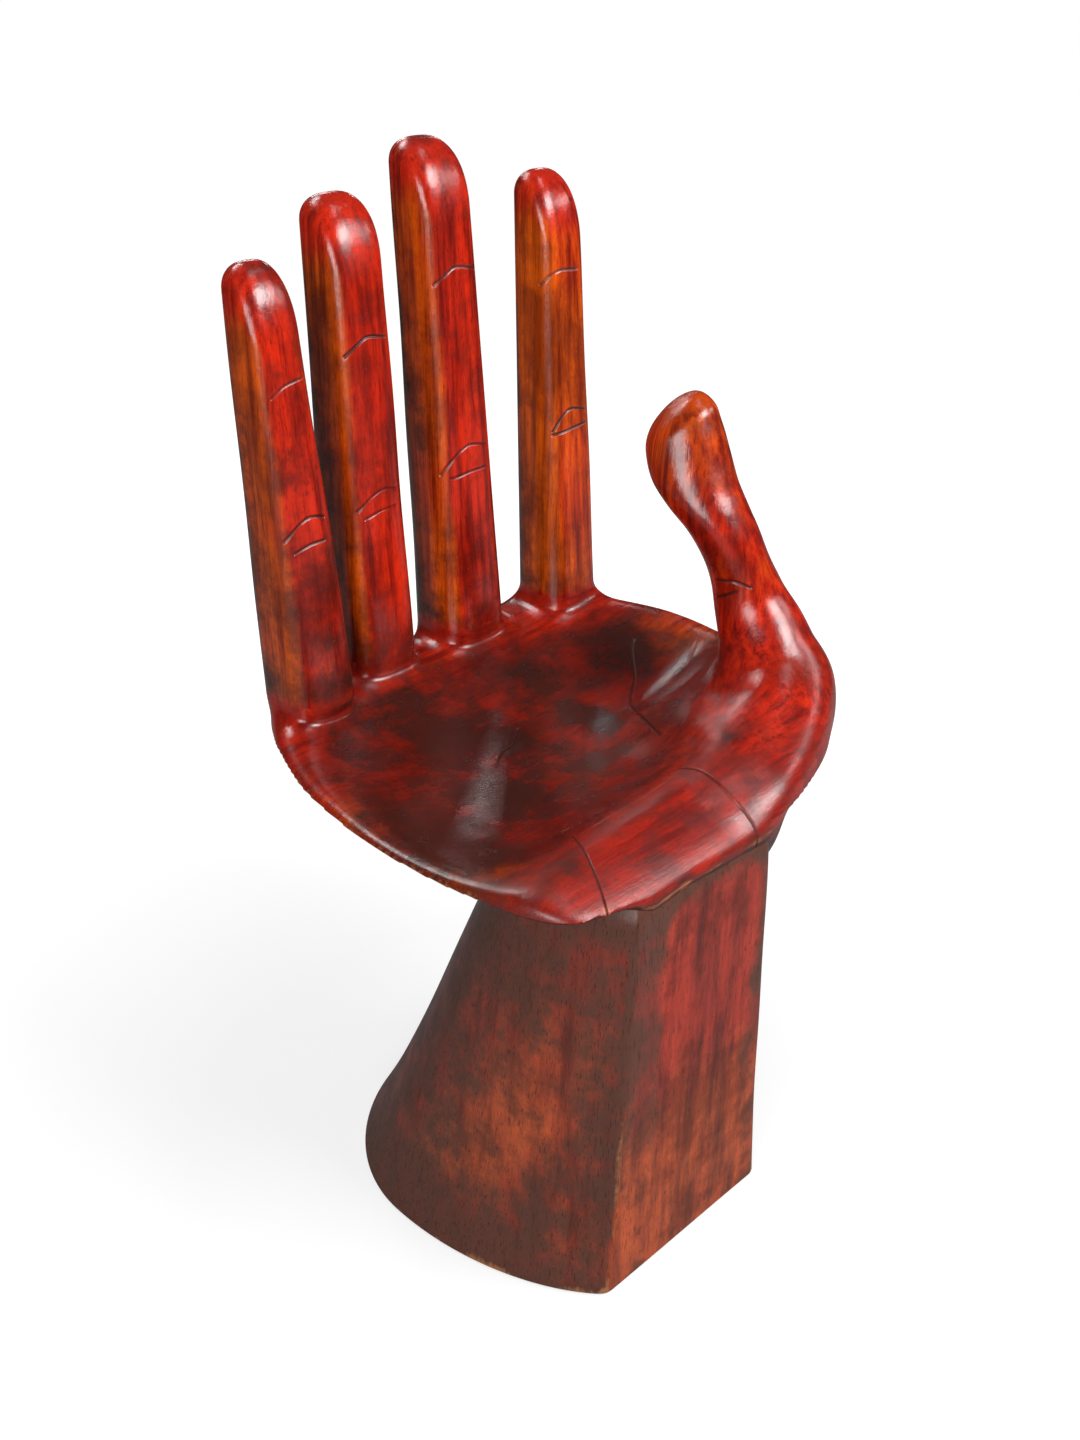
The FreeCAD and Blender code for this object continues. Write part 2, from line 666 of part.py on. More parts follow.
heel = block("heel_block", heel_blank)
side_block = block("little_finger_side_block", side_blank)
thumb_root = block("thumb_root_block", root_blank)
behind_seam = combine("Cut", "behind_heel_seam", palm_full, before_heel_seam)
slab_carved = combine("Cut", "slab_carved", behind_seam, root_blank)
slab_fitted = combine("Cut", "slab_fitted", slab_carved, wrist)
slab = combine("Cut", "palm_slab", slab_fitted, all_rods)


def board(name, x, width):
    """A board of the wrist, between two seams along Y."""
    blank_board = box(name + "_blank", x, "-front_face - overrun", "-overrun", width,
                      "2 * (front_face + %s)" % FOOT_BACK, NECK_HEIGHT + " + 2 * overrun")
    carved = combine("Common", name + "_carved", wrist, blank_board)
    bored = combine("Cut", name, carved, all_rods)
    bored.Label = name
    return bored


boards = [
    board("wrist_left_board", "-2 * foot_half_width", "2 * foot_half_width - left_board_seam"),
    board("wrist_middle_board", "-left_board_seam", "left_board_seam + right_board_seam"),
    board("wrist_right_board", "right_board_seam", "2 * foot_half_width")]


def dowels(name, rods):
    """Loose glued rods of one kind, kept together."""
    group = doc.addObject("Part::Compound", name)
    group.Links = rods
    group.Label = name
    return group


dowel_groups = [
    dowels("finger_dowels", finger_rods), dowels("thumb_dowels", thumb_rods),
    dowels("wrist_board_dowels", board_rods), dowels("seat_dowels", seat_rods),
    dowels("block_dowels", heel_rods + side_rods + root_rods)]

pieces = [slab, heel, side_block, thumb_root, thumb] + fingers + boards + dowel_groups
doc.recompute()

for thing in doc.Objects:
    if any(word in thing.State for word in ("Invalid", "Error")):
        raise RuntimeError("%s did not build: %s" % (thing.Label, thing.State))

os.makedirs("parts", exist_ok=True)
for piece in pieces:
    shape = piece.Shape
    if shape.isNull() or not shape.isValid():
        raise RuntimeError(piece.Label + " has no valid shape")
    limits = shape.BoundBox
    print("%-26s solids %d  volume %9.0f  x %7.1f %7.1f  y %7.1f %7.1f  z %6.1f %6.1f" % (
        piece.Label, len(shape.Solids), shape.Volume, limits.XMin, limits.XMax,
        limits.YMin, limits.YMax, limits.ZMin, limits.ZMax))
for piece in pieces:
    piece.Shape.exportStep(os.path.join("parts", piece.Label + ".step"))
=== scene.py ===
import bpy
import numpy as np
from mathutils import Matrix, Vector


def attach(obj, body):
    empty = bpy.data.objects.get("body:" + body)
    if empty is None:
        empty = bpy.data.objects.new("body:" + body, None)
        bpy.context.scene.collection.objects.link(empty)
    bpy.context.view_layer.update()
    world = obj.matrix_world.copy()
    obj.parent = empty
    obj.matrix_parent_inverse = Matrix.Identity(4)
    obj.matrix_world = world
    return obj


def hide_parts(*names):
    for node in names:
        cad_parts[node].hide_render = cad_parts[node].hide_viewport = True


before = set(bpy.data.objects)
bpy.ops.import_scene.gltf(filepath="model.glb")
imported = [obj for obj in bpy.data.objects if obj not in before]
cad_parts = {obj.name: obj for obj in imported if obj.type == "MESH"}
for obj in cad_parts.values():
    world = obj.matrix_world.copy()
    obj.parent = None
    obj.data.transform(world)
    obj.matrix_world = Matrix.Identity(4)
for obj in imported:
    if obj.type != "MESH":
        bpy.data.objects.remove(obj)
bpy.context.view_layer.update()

# A seat carved as an open right hand that stands on its wrist. Metres, front is -Y,
# the thumb is on +X. The sections follow the chair as it is built up.


# Wrist
# Three upright boards of mahogany, glued along Y and turned to an oval cone, then planed
# flat in front. The arrises and the foot are worn round, and red stain covers the wood.

FRONT_FACE = -0.187
WRIST_TOP = 0.410
BOARD_SEAMS = (-0.041, 0.067)
# Half width, widest place along Y, and the depths before and behind that place.
FOOT = (0.1785, 0.0200, 0.255, 0.160)
NECK = (0.1020, -0.0945, 0.149, 0.088)
FOOT_ROUNDING = 0.003
SIDE_STEPS, FRONT_STEPS = 340, 100


def wrist_outline(height):
    """Closed outlines at heights, a row for each row of heights. An outline is an oval
    whose front is cut off at the front face: x = a cos t, y = c + b sin t, with one depth b
    before the widest place c and another behind it. a and b are drawn in a little half way."""
    up = height / WRIST_TOP
    drawn_in = 0.014 * np.sin(np.pi * up) * np.clip(1 - up, 0, 1) ** 1.5
    half_width, widest_at, before, behind = (
        foot + (neck - foot) * up for foot, neck in zip(FOOT, NECK))
    half_width, behind = half_width - drawn_in, behind - drawn_in
    corner = np.arcsin((FRONT_FACE - widest_at) / before)
    way = np.r_[np.linspace(0, 1, SIDE_STEPS + 1), np.linspace(1, 2, FRONT_STEPS + 1)[1:-1]]
    turn = corner + (np.pi - 2 * corner) * np.minimum(way, 1)
    side_y = widest_at + np.where(turn % (2 * np.pi) < np.pi, behind, before) * np.sin(turn)
    x = half_width * np.where(way > 1, np.cos(corner) * (2 * way - 3), np.cos(turn))
    y = np.where(way > 1, FRONT_FACE, side_y)
    # The foot's edge is a quarter round, drawn in towards the middle.
    below = np.clip(FOOT_ROUNDING - height, 0, None)
    worn = FOOT_ROUNDING - np.sqrt(FOOT_ROUNDING ** 2 - below ** 2)
    keep = 1 - worn / 0.17
    return x * keep, widest_at + (y - widest_at) * keep


def wrist_surface():
    """The outlines from the foot up. The top lies inside the palm, so it rises outwards
    as the dish over it does, and the outlines are taken again at the raised heights. The
    last 20 mm are drawn in, so that no corner shows under the heel."""
    height = np.r_[0, 0.0003, 0.0009, 0.0018, 0.003, np.linspace(0.005, WRIST_TOP, 104)]
    z = np.repeat(height[:, None], SIDE_STEPS + FRONT_STEPS, 1)
    x, y = wrist_outline(z)
    outwards = np.hypot(x - 0.065, y - 0.045) / 0.250
    z = z + (z / WRIST_TOP) ** 8 * (0.026 * np.minimum(outwards, 1) ** 3 - 0.014)
    x, y = wrist_outline(z)
    tucked = 1 - 0.06 * np.clip((z - 0.402) / 0.020, 0, 1) ** 1.5
    x, y = x * tucked, -0.070 + (y + 0.070) * tucked
    # Each arris is rounded by averaging the outline with its neighbours near it.
    number = np.arange(x.shape[1])
    steps_off = np.minimum(np.abs(number - SIDE_STEPS), np.minimum(number, x.shape[1] - number))
    near = np.exp(-(steps_off / 5.0) ** 2)
    for _ in range(7):
        for line in (x, y):
            line += near * ((np.roll(line, 1, 1) + np.roll(line, -1, 1)) / 2 - line) / 2
    # Hand planing leaves the faces a little uneven.
    uneven = 0.0006 * np.sin(23 * x + 9 * z) * np.sin(17 * y - 31 * z + 1)
    return np.stack([x * (1 + 5 * uneven), y * (1 + 3 * uneven), z], -1)


def tube_faces(rows, columns):
    """Triangles of a tube of rows, and of a fan at each end about two added points."""
    row, column = np.meshgrid(np.arange(rows - 1), np.arange(columns), indexing="ij")
    right = (column + 1) % columns
    a, b = row * columns + column, row * columns + right
    wall = np.concatenate([np.stack([a, b, b + columns], -1).reshape(-1, 3),
                           np.stack([a, b + columns, a + columns], -1).reshape(-1, 3)])
    first, last = a[0], a[-1] + columns
    foot = np.stack([b[0], first, np.full(columns, rows * columns)], -1)
    top = np.stack([last, b[-1] + columns, np.full(columns, rows * columns + 1)], -1)
    return np.concatenate([wall, foot, top])


def mesh_normals(points, faces):
    """Mean direction of the faces round each point, weighted by their areas."""
    a, b, c = points[faces[:, 0]], points[faces[:, 1]], points[faces[:, 2]]
    across = np.cross(b - a, c - a)
    total = np.zeros_like(points)
    for corner in range(3):
        for axis in range(3):
            total[:, axis] += np.bincount(faces[:, corner], across[:, axis], len(points))
    return total / np.maximum(np.linalg.norm(total, axis=1, keepdims=True), 1e-12)


def split_edges(points, faces, wanted):
    """Adds a point on each edge that wanted(a, b) gives a share for, and cuts the faces
    there. Shares that aren't numbers leave their edges whole. A face with one, two or
    three new points becomes two, three or four."""
    pairs = np.stack([faces, np.roll(faces, -1, 1)], -1)
    low, high = pairs.min(-1).ravel(), pairs.max(-1).ravel()
    keys, back = np.unique(low.astype(np.int64) * len(points) + high, return_inverse=True)
    start, end = keys // len(points), keys % len(points)
    share = wanted(points[start], points[end])
    chosen = np.isfinite(share)
    number = np.where(chosen, len(points) + np.cumsum(chosen) - 1, -1)
    added = points[start] + (points[end] - points[start]) * np.where(chosen, share, 0)[:, None]
    points = np.concatenate([points, added[chosen]])
    middle = number[back.reshape(-1)].reshape(-1, 3)
    count = (middle >= 0).sum(1)
    # Turn each face so that its new points come first, or its whole edge last.
    first = np.where(count == 1, np.argmax(middle >= 0, 1), (np.argmin(middle >= 0, 1) + 1) % 3)
    order = (first[:, None] + np.arange(3)) % 3
    faces, middle = np.take_along_axis(faces, order, 1), np.take_along_axis(middle, order, 1)
    (a, b, c), (m, n, o) = faces.T, middle.T
    one, two, three = count == 1, count == 2, count == 3
    parts = [(count == 0, (a, b, c)), (one, (a, m, c)), (one, (m, b, c)),
             (two, (m, b, n)), (two, (a, m, n)), (two, (a, n, c)),
             (three, (a, m, o)), (three, (m, b, n)), (three, (n, c, o)), (three, (m, n, o))]
    return points, np.concatenate([np.stack(corners, -1)[which] for which, corners in parts])


def cut_at(points, faces, distance, where=None):
    """Cuts the faces along the surface where distance(points) is nought."""
    def crossing(a, b):
        da, db = distance(a), distance(b)
        with np.errstate(divide="ignore", invalid="ignore"):
            share = np.where(da * db < 0, da / (da - db), np.nan)
        share[(share < 1e-4) | (share > 1 - 1e-4)] = np.nan
        if where is not None:
            share[~where((a + b) / 2)] = np.nan
        return share
    return split_edges(points, faces, crossing)


def put_piece(name, points, normals, faces, marks, stands_for):
    """Makes one closed piece of some faces of a larger surface. Each open edge left by a
    saw cut is closed by a fan to the middle of its loop, and the piece keeps the larger
    surface's normals, so that a glued joint doesn't show in the shading."""
    used, local = np.unique(faces, return_inverse=True)
    faces = local.reshape(-1, 3)
    points, normals = points[used], normals[used]
    count = len(points)
    start, end = faces.ravel(), np.roll(faces, -1, 1).ravel()
    is_open = ~np.isin(start.astype(np.int64) * count + end, end.astype(np.int64) * count + start)
    start, end = start[is_open], end[is_open]
    if len(start):
        loop, follow = np.arange(count), np.arange(count)
        follow[start] = end
        for _ in range(16):
            loop, follow = np.minimum(loop, loop[follow]), follow[follow]
        _, which = np.unique(loop[start], return_inverse=True)
        size = np.bincount(which)
        middle = np.stack([np.bincount(which, points[start, k]) / size for k in range(3)], -1)
        cap = np.stack([end, start, count + which], -1)
        points = np.concatenate([points, middle])
        faces = np.concatenate([faces, cap])
        cap_corners = points[cap]
        across = np.cross(cap_corners[:, 1] - cap_corners[:, 0],
                          cap_corners[:, 2] - cap_corners[:, 0])
        across /= np.maximum(np.linalg.norm(across, axis=1, keepdims=True), 1e-12)
        corner_normals = np.concatenate([normals[faces[:-len(cap)].ravel()],
                                         np.repeat(across, 3, 0)])
    else:
        corner_normals = normals[faces.ravel()]
    mesh = bpy.data.meshes.new(name)
    mesh.from_pydata(points.tolist(), [], faces.tolist())
    mesh.polygons.foreach_set("use_smooth", np.ones(len(faces), bool))
    for mark, values in marks.items():
        on_caps = np.zeros((len(points) - count,) + values.shape[1:])
        values = np.concatenate([values[used], on_caps])
        kind, slot = ("FLOAT_VECTOR", "vector") if values.ndim == 2 else ("FLOAT", "value")
        layer = mesh.attributes.new(mark, kind, "POINT")
        layer.data.foreach_set(slot, values.astype(np.float32).ravel())
    mesh.normals_split_custom_set(corner_normals.tolist())
    piece = bpy.data.objects.new(name + "_carved", mesh)
    bpy.context.collection.objects.link(piece)
    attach(piece, "root")
    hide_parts(stands_for)
    return piece


def node(tree, kind, out=0, sockets=(), **settings):
    """Adds a node, fills its sockets with values or links, and gives one of its outputs."""
    made = tree.nodes.new("ShaderNode" + kind)
    for setting, value in settings.items():
        setattr(made, setting, value)
    for socket, value in dict(sockets).items():
        if isinstance(value, bpy.types.NodeSocket):
            tree.links.new(value, made.inputs[socket])
        else:
            made.inputs[socket].default_value = value
    return made.outputs[out]


def cloth_of_noise(tree, place, scale, detail=3.0, rough=0.55):
    """Noise about 0.5 whose lumps are 1 / scale metres along each axis."""
    scaled = node(tree, "Mapping", 0, {"Vector": place, "Scale": scale})
    return node(tree, "TexNoise", 0, {"Vector": scaled, "Scale": 1.0, "Detail": detail,
                                      "Roughness": rough})


def total(tree, *terms):
    """Sum of values, each given as (value, times)."""
    result = None
    for value, times in terms:
        sockets = {0: value, 1: times, 2: 0.0 if result is None else result}
        result = node(tree, "Math", 0, sockets, operation="MULTIPLY_ADD")
    return result


def spread(tree, value, low, high, top=1.0):
    """0 below low, top above high, and a smooth step between."""
    return node(tree, "MapRange", 0, {"Value": value, "From Min": low, "From Max": high,
                                      "To Max": top}, interpolation_type="SMOOTHSTEP")


def blend(tree, share, one, two):
    """A colour between two, by a share."""
    return node(tree, "Mix", 2, {0: share, 6: one, 7: two}, data_type="RGBA")


def stained_wood(name, rough, shine, crimson, amber, black_and_shade, worn):
    """Mahogany under red stain and lacquer. The mark "grain" holds a place in the plank,
    whose grain runs along its Z, in streaks, fibres and pores that fade on end grain. The
    stain is crimson or amber, dark to light with the streaks and cloudy on top, and other
    marks say where it is amber, rosy, slate, deep, worn, dull or cut by a line, and where
    it is black: black stain, and painted shade under and between the parts. The dark of the
    cut lines is painted shade in the knuckle creases and the dark of the opened seams and
    checks. Most shares are a smooth step of a mark plus noise. Crimson and amber are each
    dark and light."""
    material = bpy.data.materials.new(name)
    material.use_nodes = True
    tree = material.node_tree
    shader = tree.nodes["Principled BSDF"]
    deep_red, old_rose = (0.085, 0.0040, 0.0030, 1), (0.32, 0.024, 0.020, 1)
    # cut_dark, through the line mark, is painted shade in the knuckle creases and the dark of the
    # opened seams and checks.
    slate_grey, cut_dark = (0.034, 0.028, 0.028, 1), (0.012, 0.004, 0.003, 1)
    fibre_dark, pore_dark = (0.030, 0.006, 0.003, 1), (0.015, 0.004, 0.002, 1)
    cloud_dark = tuple(0.50 * part for part in crimson[0][:3]) + (1,)
    place = node(tree, "TexCoord", 3)
    plank = node(tree, "Attribute", 1, attribute_name="grain")
    mark = {key: node(tree, "Attribute", 2, attribute_name=key)
            for key in ("amber", "black_and_shade", "rosy", "slate", "deep", "worn", "dull", "line", "end")}
    clouds = cloth_of_noise(tree, place, (9, 9, 9), 3)
    mottle = cloth_of_noise(tree, place, (34, 34, 34), 6, 0.65)
    streaks = cloth_of_noise(tree, plank, (110, 110, 6), 4, 0.6)
    streaks = node(tree, "Mix", 0, {0: mark["end"], 2: streaks, 3: 0.5})
    fibres = cloth_of_noise(tree, plank, (420, 420, 28), 3, 0.6)
    pores = cloth_of_noise(tree, plank, (1300, 1300, 110), 1)
    tone = spread(tree, total(tree, (streaks, 0.7), (fibres, 0.3)), 0.33, 0.65)
    red = blend(tree, tone, *crimson)
    brown = blend(tree, tone, *amber)
    share = total(tree, (mark["amber"], 1.0), (clouds, 0.9), (streaks, 0.9))
    stain = blend(tree, spread(tree, share, 1.00, 1.80), red, brown)

    def share_of(low, high, top, *terms):
        return spread(tree, total(tree, *terms), low, high, top)

    for share, colour in (
            (share_of(0.80, 1.60, 0.75, (mark["rosy"], 1.0), (mottle, 1.2)), old_rose),
            (share_of(0.42, 0.60, 0.55, (clouds, 0.5), (mottle, 0.5)), cloud_dark),
            (mark["deep"], deep_red),
            # The black colour is both black stain and painted shade, as the mark gives it.
            (share_of(1.45, 2.15, 0.93, (mark["black_and_shade"], 1.0), (mottle, 1.1), (streaks, 0.9),
                      (clouds, 0.6)), black_and_shade),
            (share_of(1.05, 1.65, 0.90, (mark["slate"], 1.0), (mottle, 1.6)), slate_grey),
            (spread(tree, fibres, 0.50, 0.72, 0.35), fibre_dark),
            (spread(tree, pores, 0.61, 0.70, 0.55), pore_dark),
            (share_of(1.15, 1.45, 0.85, (mark["worn"], 1.0), (mottle, 1.0), (fibres, 0.6)), worn),
            (mark["line"], cut_dark)):
        stain = blend(tree, share, stain, colour)
    tree.links.new(stain, shader.inputs["Base Color"])
    shader.inputs["Specular IOR Level"].default_value = shine
    unevenness = total(tree, (mottle, 0.36), (fibres, 0.08), (mark["worn"], 0.12),
                       (mark["dull"], 1.0), (mark["line"], 0.25))
    unevenness = node(tree, "Math", 0, {0: unevenness, 1: rough - 0.22}, operation="ADD")
    tree.links.new(unevenness, shader.inputs["Roughness"])
    height = total(tree, (fibres, 0.30), (pores, 0.10), (mottle, 1.1))
    bump = node(tree, "Bump", 0, {"Height": height, "Strength": 0.35, "Distance": 0.0016})
    tree.links.new(bump, shader.inputs["Normal"])
    return material


def spots(p, rows):
    """Round soft spots: at each, strength times exp(-(distance / radius) ** 2)."""
    shade = np.zeros(len(p))
    for x, y, z, radius, strength in rows:
        off = ((p - (x, y, z)) ** 2).sum(1) / radius ** 2
        shade += strength * np.exp(-off)
    return shade


def ramp(value, low, high):
    """0 at low and 1 at high, in a smooth step; low may be the larger."""
    t = np.clip((value - low) / (high - low), 0, 1)
    return t * t * (3 - 2 * t)


# Round spots on the wrist: place, radius and strength.
FLAMES = [
    (-0.130, -0.105, 0.178, 0.055, 0.65), (-0.149, -0.058, 0.107, 0.050, 0.60),
    (-0.120, -0.130, 0.270, 0.045, 0.35), (-0.115, -0.155, 0.060, 0.040, 0.30),
    (-0.165, 0.010, 0.090, 0.045, 0.35), (0.150, -0.020, 0.140, 0.100, 0.50)]
FOOT_CHIPS = [(-0.162, -0.083, 0.005, 0.025, 0.30), (-0.120, -0.160, 0.003, 0.020, 0.30)]


def wrist_marks(p, normals):
    """The front is red between two dark boards; the sides are brown with amber flames. The top,
    where the palm shades it, is painted darker. Each mark is a sum of smooth steps of place and
    facing, and of round spots."""
    x, y, z = p.T
    front = ramp(-normals[:, 1], 0.80, 0.97)
    wave = 0.012 * np.sin(21 * z + 1) + 0.006 * np.sin(63 * z)
    left_dark = ramp(x + 0.4 * wave, -0.030, -0.056)
    right_dark = ramp(x - 0.4 * wave, 0.054, 0.080)
    side = 1 - front
    foot = ramp(z, 0.012, 0.001)
    arris = ramp(-normals[:, 1], 0.995, 0.96) * ramp(y, -0.180, -0.186)
    flames = spots(p, FLAMES)
    return {"amber": front * (0.15 + 0.75 * ramp(z, 0.26, 0.10)) + side * (0.22 + flames),
            "black_and_shade": (front * (0.85 * left_dark + 0.90 * right_dark - 0.15
                               - 0.40 * ramp(z, 0.28, 0.12))
                      + side * (0.72 - 0.65 * flames + 0.3 * ramp(x, -0.120, -0.175))
                      # painted shade under the palm, on the wrist's top 35 mm
                      + 0.8 * ramp(z, 0.375, 0.410) + 0.25 * foot
                      + 0.35 * arris * ramp(z, 0.15, 0.30)),
            "worn": 0.36 * foot + 0.45 * arris * ramp(z, 0.30, 0.15) + spots(p, FOOT_CHIPS),
            "grain": p * (0.6, 0.6, 1.0),
            **dict.fromkeys(("rosy", "slate", "deep", "dull", "line", "end"), 0 * x)}


WRIST_WOOD = stained_wood(
    "wrist_wood", 0.36, 0.20,
    ((0.090, 0.014, 0.010, 1), (0.36, 0.034, 0.020, 1)),
    ((0.170, 0.036, 0.016, 1), (0.50, 0.085, 0.026, 1)), (0.075, 0.032, 0.022, 1),
    (0.30, 0.12, 0.05, 1))

rows = wrist_surface()
wrist_points = np.concatenate([rows.reshape(-1, 3), [[0, 0, 0], [0, -0.11, 0.40]]])
wrist_faces = tube_faces(*rows.shape[:2])
for seam in BOARD_SEAMS:
    wrist_points, wrist_faces = cut_at(wrist_points, wrist_faces, lambda p: p[:, 0] - seam)
wrist_normals = mesh_normals(wrist_points, wrist_faces)
board_of = np.searchsorted(BOARD_SEAMS, wrist_points[wrist_faces].mean(1)[:, 0])
marks = wrist_marks(wrist_points, wrist_normals)
for number, name in enumerate(("wrist_left_board", "wrist_middle_board", "wrist_right_board")):
    faces = wrist_faces[board_of == number]
    piece = put_piece(name, wrist_points, wrist_normals, faces, marks, name)
    piece.data.materials.append(WRIST_WOOD)


# Palm
# A thick slab with three glued blocks in front of it, carved together into a shallow dish
# with a thin rim, a rounded belly and a heel rolled over the top of the wrist.

MIDDLE = np.array([0.065, 0.045])
DISH_FLOOR = 0.411
DISH_POWER = 2.6
EDGE_HEIGHT = 0.430
BELLY_HEIGHT = 0.352
# The heel's roll: middle along Y and Z, half widths along Y and Z, direction from MIDDLE.
HEEL_Y, HEEL_Z, HEEL_DEPTH, HEEL_RISE = -0.105, 0.400, 0.091, 0.052
HEEL_TURN = -1.75


def soft_less(a, b, radius):
    """The lesser of two distances, with the corner between them filled to a radius."""
    share = np.clip(0.5 + 0.5 * (b - a) / radius, 0, 1)
    return b + (a - b) * share - radius * share * (1 - share)


def soft_more(a, b, radius):
    """The greater of two distances, with the corner between them rounded to a radius."""
    return -soft_less(-a, -b, radius)


def smooth_table(table, at):
    """Cubic through a table's rows against its first column, level past its ends. The
    slope at a row is that of the line between the rows before and after it."""
    key, values = table[:, 0], table[:, 1:]
    slope = np.zeros_like(values)
    slope[1:-1] = (values[2:] - values[:-2]) / (key[2:] - key[:-2])[:, None]
    at = np.clip(at, key[0], key[-1])
    left = np.clip(np.searchsorted(key, at, "right") - 1, 0, len(key) - 2)
    gap = (key[left + 1] - key[left])[:, None]
    t = (at[:, None] - key[left][:, None]) / gap
    a, b = values[left], values[left + 1]
    return (a * (1 + 2 * t) * (1 - t) ** 2 + b * t ** 2 * (3 - 2 * t)
            + gap * (slope[left] * t * (1 - t) ** 2 + slope[left + 1] * t ** 2 * (t - 1)))


def round_the_middle(places):
    """A closed smooth curve through places round the middle, as columns against angle:
    distance out, then any other columns. It runs on for two places past each end."""
    places = np.array(places)
    out = places[:, :2] - MIDDLE
    angle = np.arctan2(out[:, 1], out[:, 0])
    table = np.column_stack([angle, np.hypot(*out.T), places[:, 2:]])[np.argsort(angle)]
    table = np.concatenate([table[-2:], table, table[:2]])
    table[:2, 0] -= 2 * np.pi
    table[-2:, 0] += 2 * np.pi
    turn = np.linspace(-np.pi, np.pi, 1441)
    return turn, smooth_table(table, turn)


# Edge of the palm seen from above, and crest of its rim with the crest's height.
TURN, EDGE = round_the_middle([
    (-0.109, -0.190), (-0.135, -0.177), (-0.155, -0.152), (-0.1725, -0.092), (-0.184, -0.012),
    (-0.182, 0.066), (-0.169, 0.140), (-0.157, 0.174), (-0.144, 0.206), (-0.116, 0.247),
    (-0.086, 0.262), (-0.045, 0.266), (0.003, 0.280), (0.058, 0.270), (0.113, 0.279),
    (0.172, 0.267), (0.215, 0.264), (0.260, 0.238),
    (0.284, 0.175), (0.301, 0.115), (0.303, 0.075), (0.292, 0.020), (0.277, -0.030),
    (0.252, -0.078), (0.216, -0.121), (0.170, -0.154), (0.124, -0.178), (0.075, -0.191),
    (-0.020, -0.194)])
TURN, CREST = round_the_middle([
    (-0.176, -0.020, 0.441), (-0.172, 0.075, 0.442), (-0.155, 0.160, 0.443),
    (-0.105, 0.200, 0.443), (0.000, 0.208, 0.441), (0.110, 0.206, 0.441), (0.200, 0.185, 0.446),
    (0.243, 0.150, 0.448), (0.277, 0.095, 0.451), (0.280, 0.045, 0.456), (0.222, -0.005, 0.466),
    (0.140, -0.055, 0.460), (0.075, -0.092, 0.452), (-0.020, -0.108, 0.450),
    (-0.085, -0.112, 0.448), (-0.135, -0.105, 0.444), (-0.165, -0.070, 0.442)])


def about_the_middle(p):
    """Distance and angle of points round the middle of the dish."""
    x, y = p[..., 0] - MIDDLE[0], p[..., 1] - MIDDLE[1]
    return np.hypot(x, y), np.arctan2(y, x)


def oval_distance(x, y, a, b):
    """About the distance from an oval with half widths a and b: less than 0 inside it."""
    q = np.sqrt((x / a) ** 2 + (y / b) ** 2)
    slope = np.sqrt((x / a ** 2) ** 2 + (y / b ** 2) ** 2) / np.maximum(q, 1e-6)
    return (q - 1) / np.maximum(slope, 1e-3) * np.where(q > 1, 1, 0.9)


def palm_blank(p):
    """The bowl-shaped blank: its edge shrinks as it goes down to a flat belly, and its
    top follows the height of the crest. The heel keeps its width down to the wrist."""
    out, turn = about_the_middle(p)
    down = np.clip((EDGE_HEIGHT - p[..., 2]) / 0.080, 0, 1.1)
    off_heel = ramp(np.abs(turn - HEEL_TURN), 0.32, 0.48)
    shrink = 0.40 * down ** 0.75 * (0.30 + 0.70 * off_heel)
    blank = (out - np.interp(turn, TURN, EDGE[:, 0]) * (1 - shrink)) * 0.72
    top = np.interp(turn, TURN, CREST[:, 1])
    blank = soft_more(blank, (p[..., 2] - top - 0.002) * 0.95, 0.020)
    return soft_more(blank, BELLY_HEIGHT - p[..., 2], 0.012)


def above_dish(p):
    """Height over the dish, whose floor rises as a power of the way to the crest."""
    out, turn = about_the_middle(p)
    reach = np.interp(turn, TURN, CREST[:, 0])
    depth = np.interp(turn, TURN, CREST[:, 1]) - DISH_FLOOR
    way = np.minimum(out / reach, 1.5)
    slope = depth * DISH_POWER * way ** (DISH_POWER - 1) / reach
    return (p[..., 2] - DISH_FLOOR - depth * way ** DISH_POWER) / np.sqrt(1 + slope ** 2)


def heel_roll(p):
    """A half oval along X over the heel, and how far it has faded out towards the thumb."""
    x, y, z = p[..., 0], p[..., 1], p[..., 2]
    roll = oval_distance(y - HEEL_Y, z - HEEL_Z, HEEL_DEPTH, HEEL_RISE)
    roll = np.where(y > HEEL_Y, np.minimum(roll, z - HEEL_Z - HEEL_RISE), roll)
    return np.where(z > 0.395, roll, -0.02), ramp(x, 0.05, 0.11)


# Thumb
# A block bored on to the front right corner of the palm and carved into one swelling,
# bent form with it, from the heel round to a thumb with a flat pad.

THUMB = np.array([
    # height, middle x and y, half widths towards the palm and along it
    (0.4300, 0.2300, -0.0760, 0.0400, 0.0380), (0.4700, 0.2315, -0.0600, 0.0430, 0.0410),
    (0.4950, 0.2320, -0.0490, 0.0400, 0.0375), (0.5176, 0.2331, -0.0390, 0.0380, 0.0370),
    (0.5463, 0.2301, -0.0275, 0.0330, 0.0345), (0.5709, 0.2226, -0.0195, 0.0310, 0.0335),
    (0.5976, 0.2136, -0.0090, 0.0330, 0.0335), (0.6191, 0.2056, 0.0035, 0.0365, 0.0330),
    (0.6396, 0.2015, 0.0165, 0.0385, 0.0325), (0.6611, 0.2005, 0.0250, 0.0380, 0.0310),
    (0.6826, 0.2000, 0.0300, 0.0350, 0.0285), (0.7000, 0.2005, 0.0330, 0.0305, 0.0255),
    (0.7200, 0.2010, 0.0350, 0.0260, 0.0220)])
TO_PALM = np.array([-0.7202, 0.6938])
ALONG_PALM = np.array([0.6938, 0.7202])
THUMB_TOP = 0.718
# The thumb and the fingers end at this height inside the palm.
INSIDE_PALM = 0.440
THUMB_LEVELS = np.linspace(0.40, 0.76, 361)
THUMB_FORM = smooth_table(THUMB, THUMB_LEVELS)


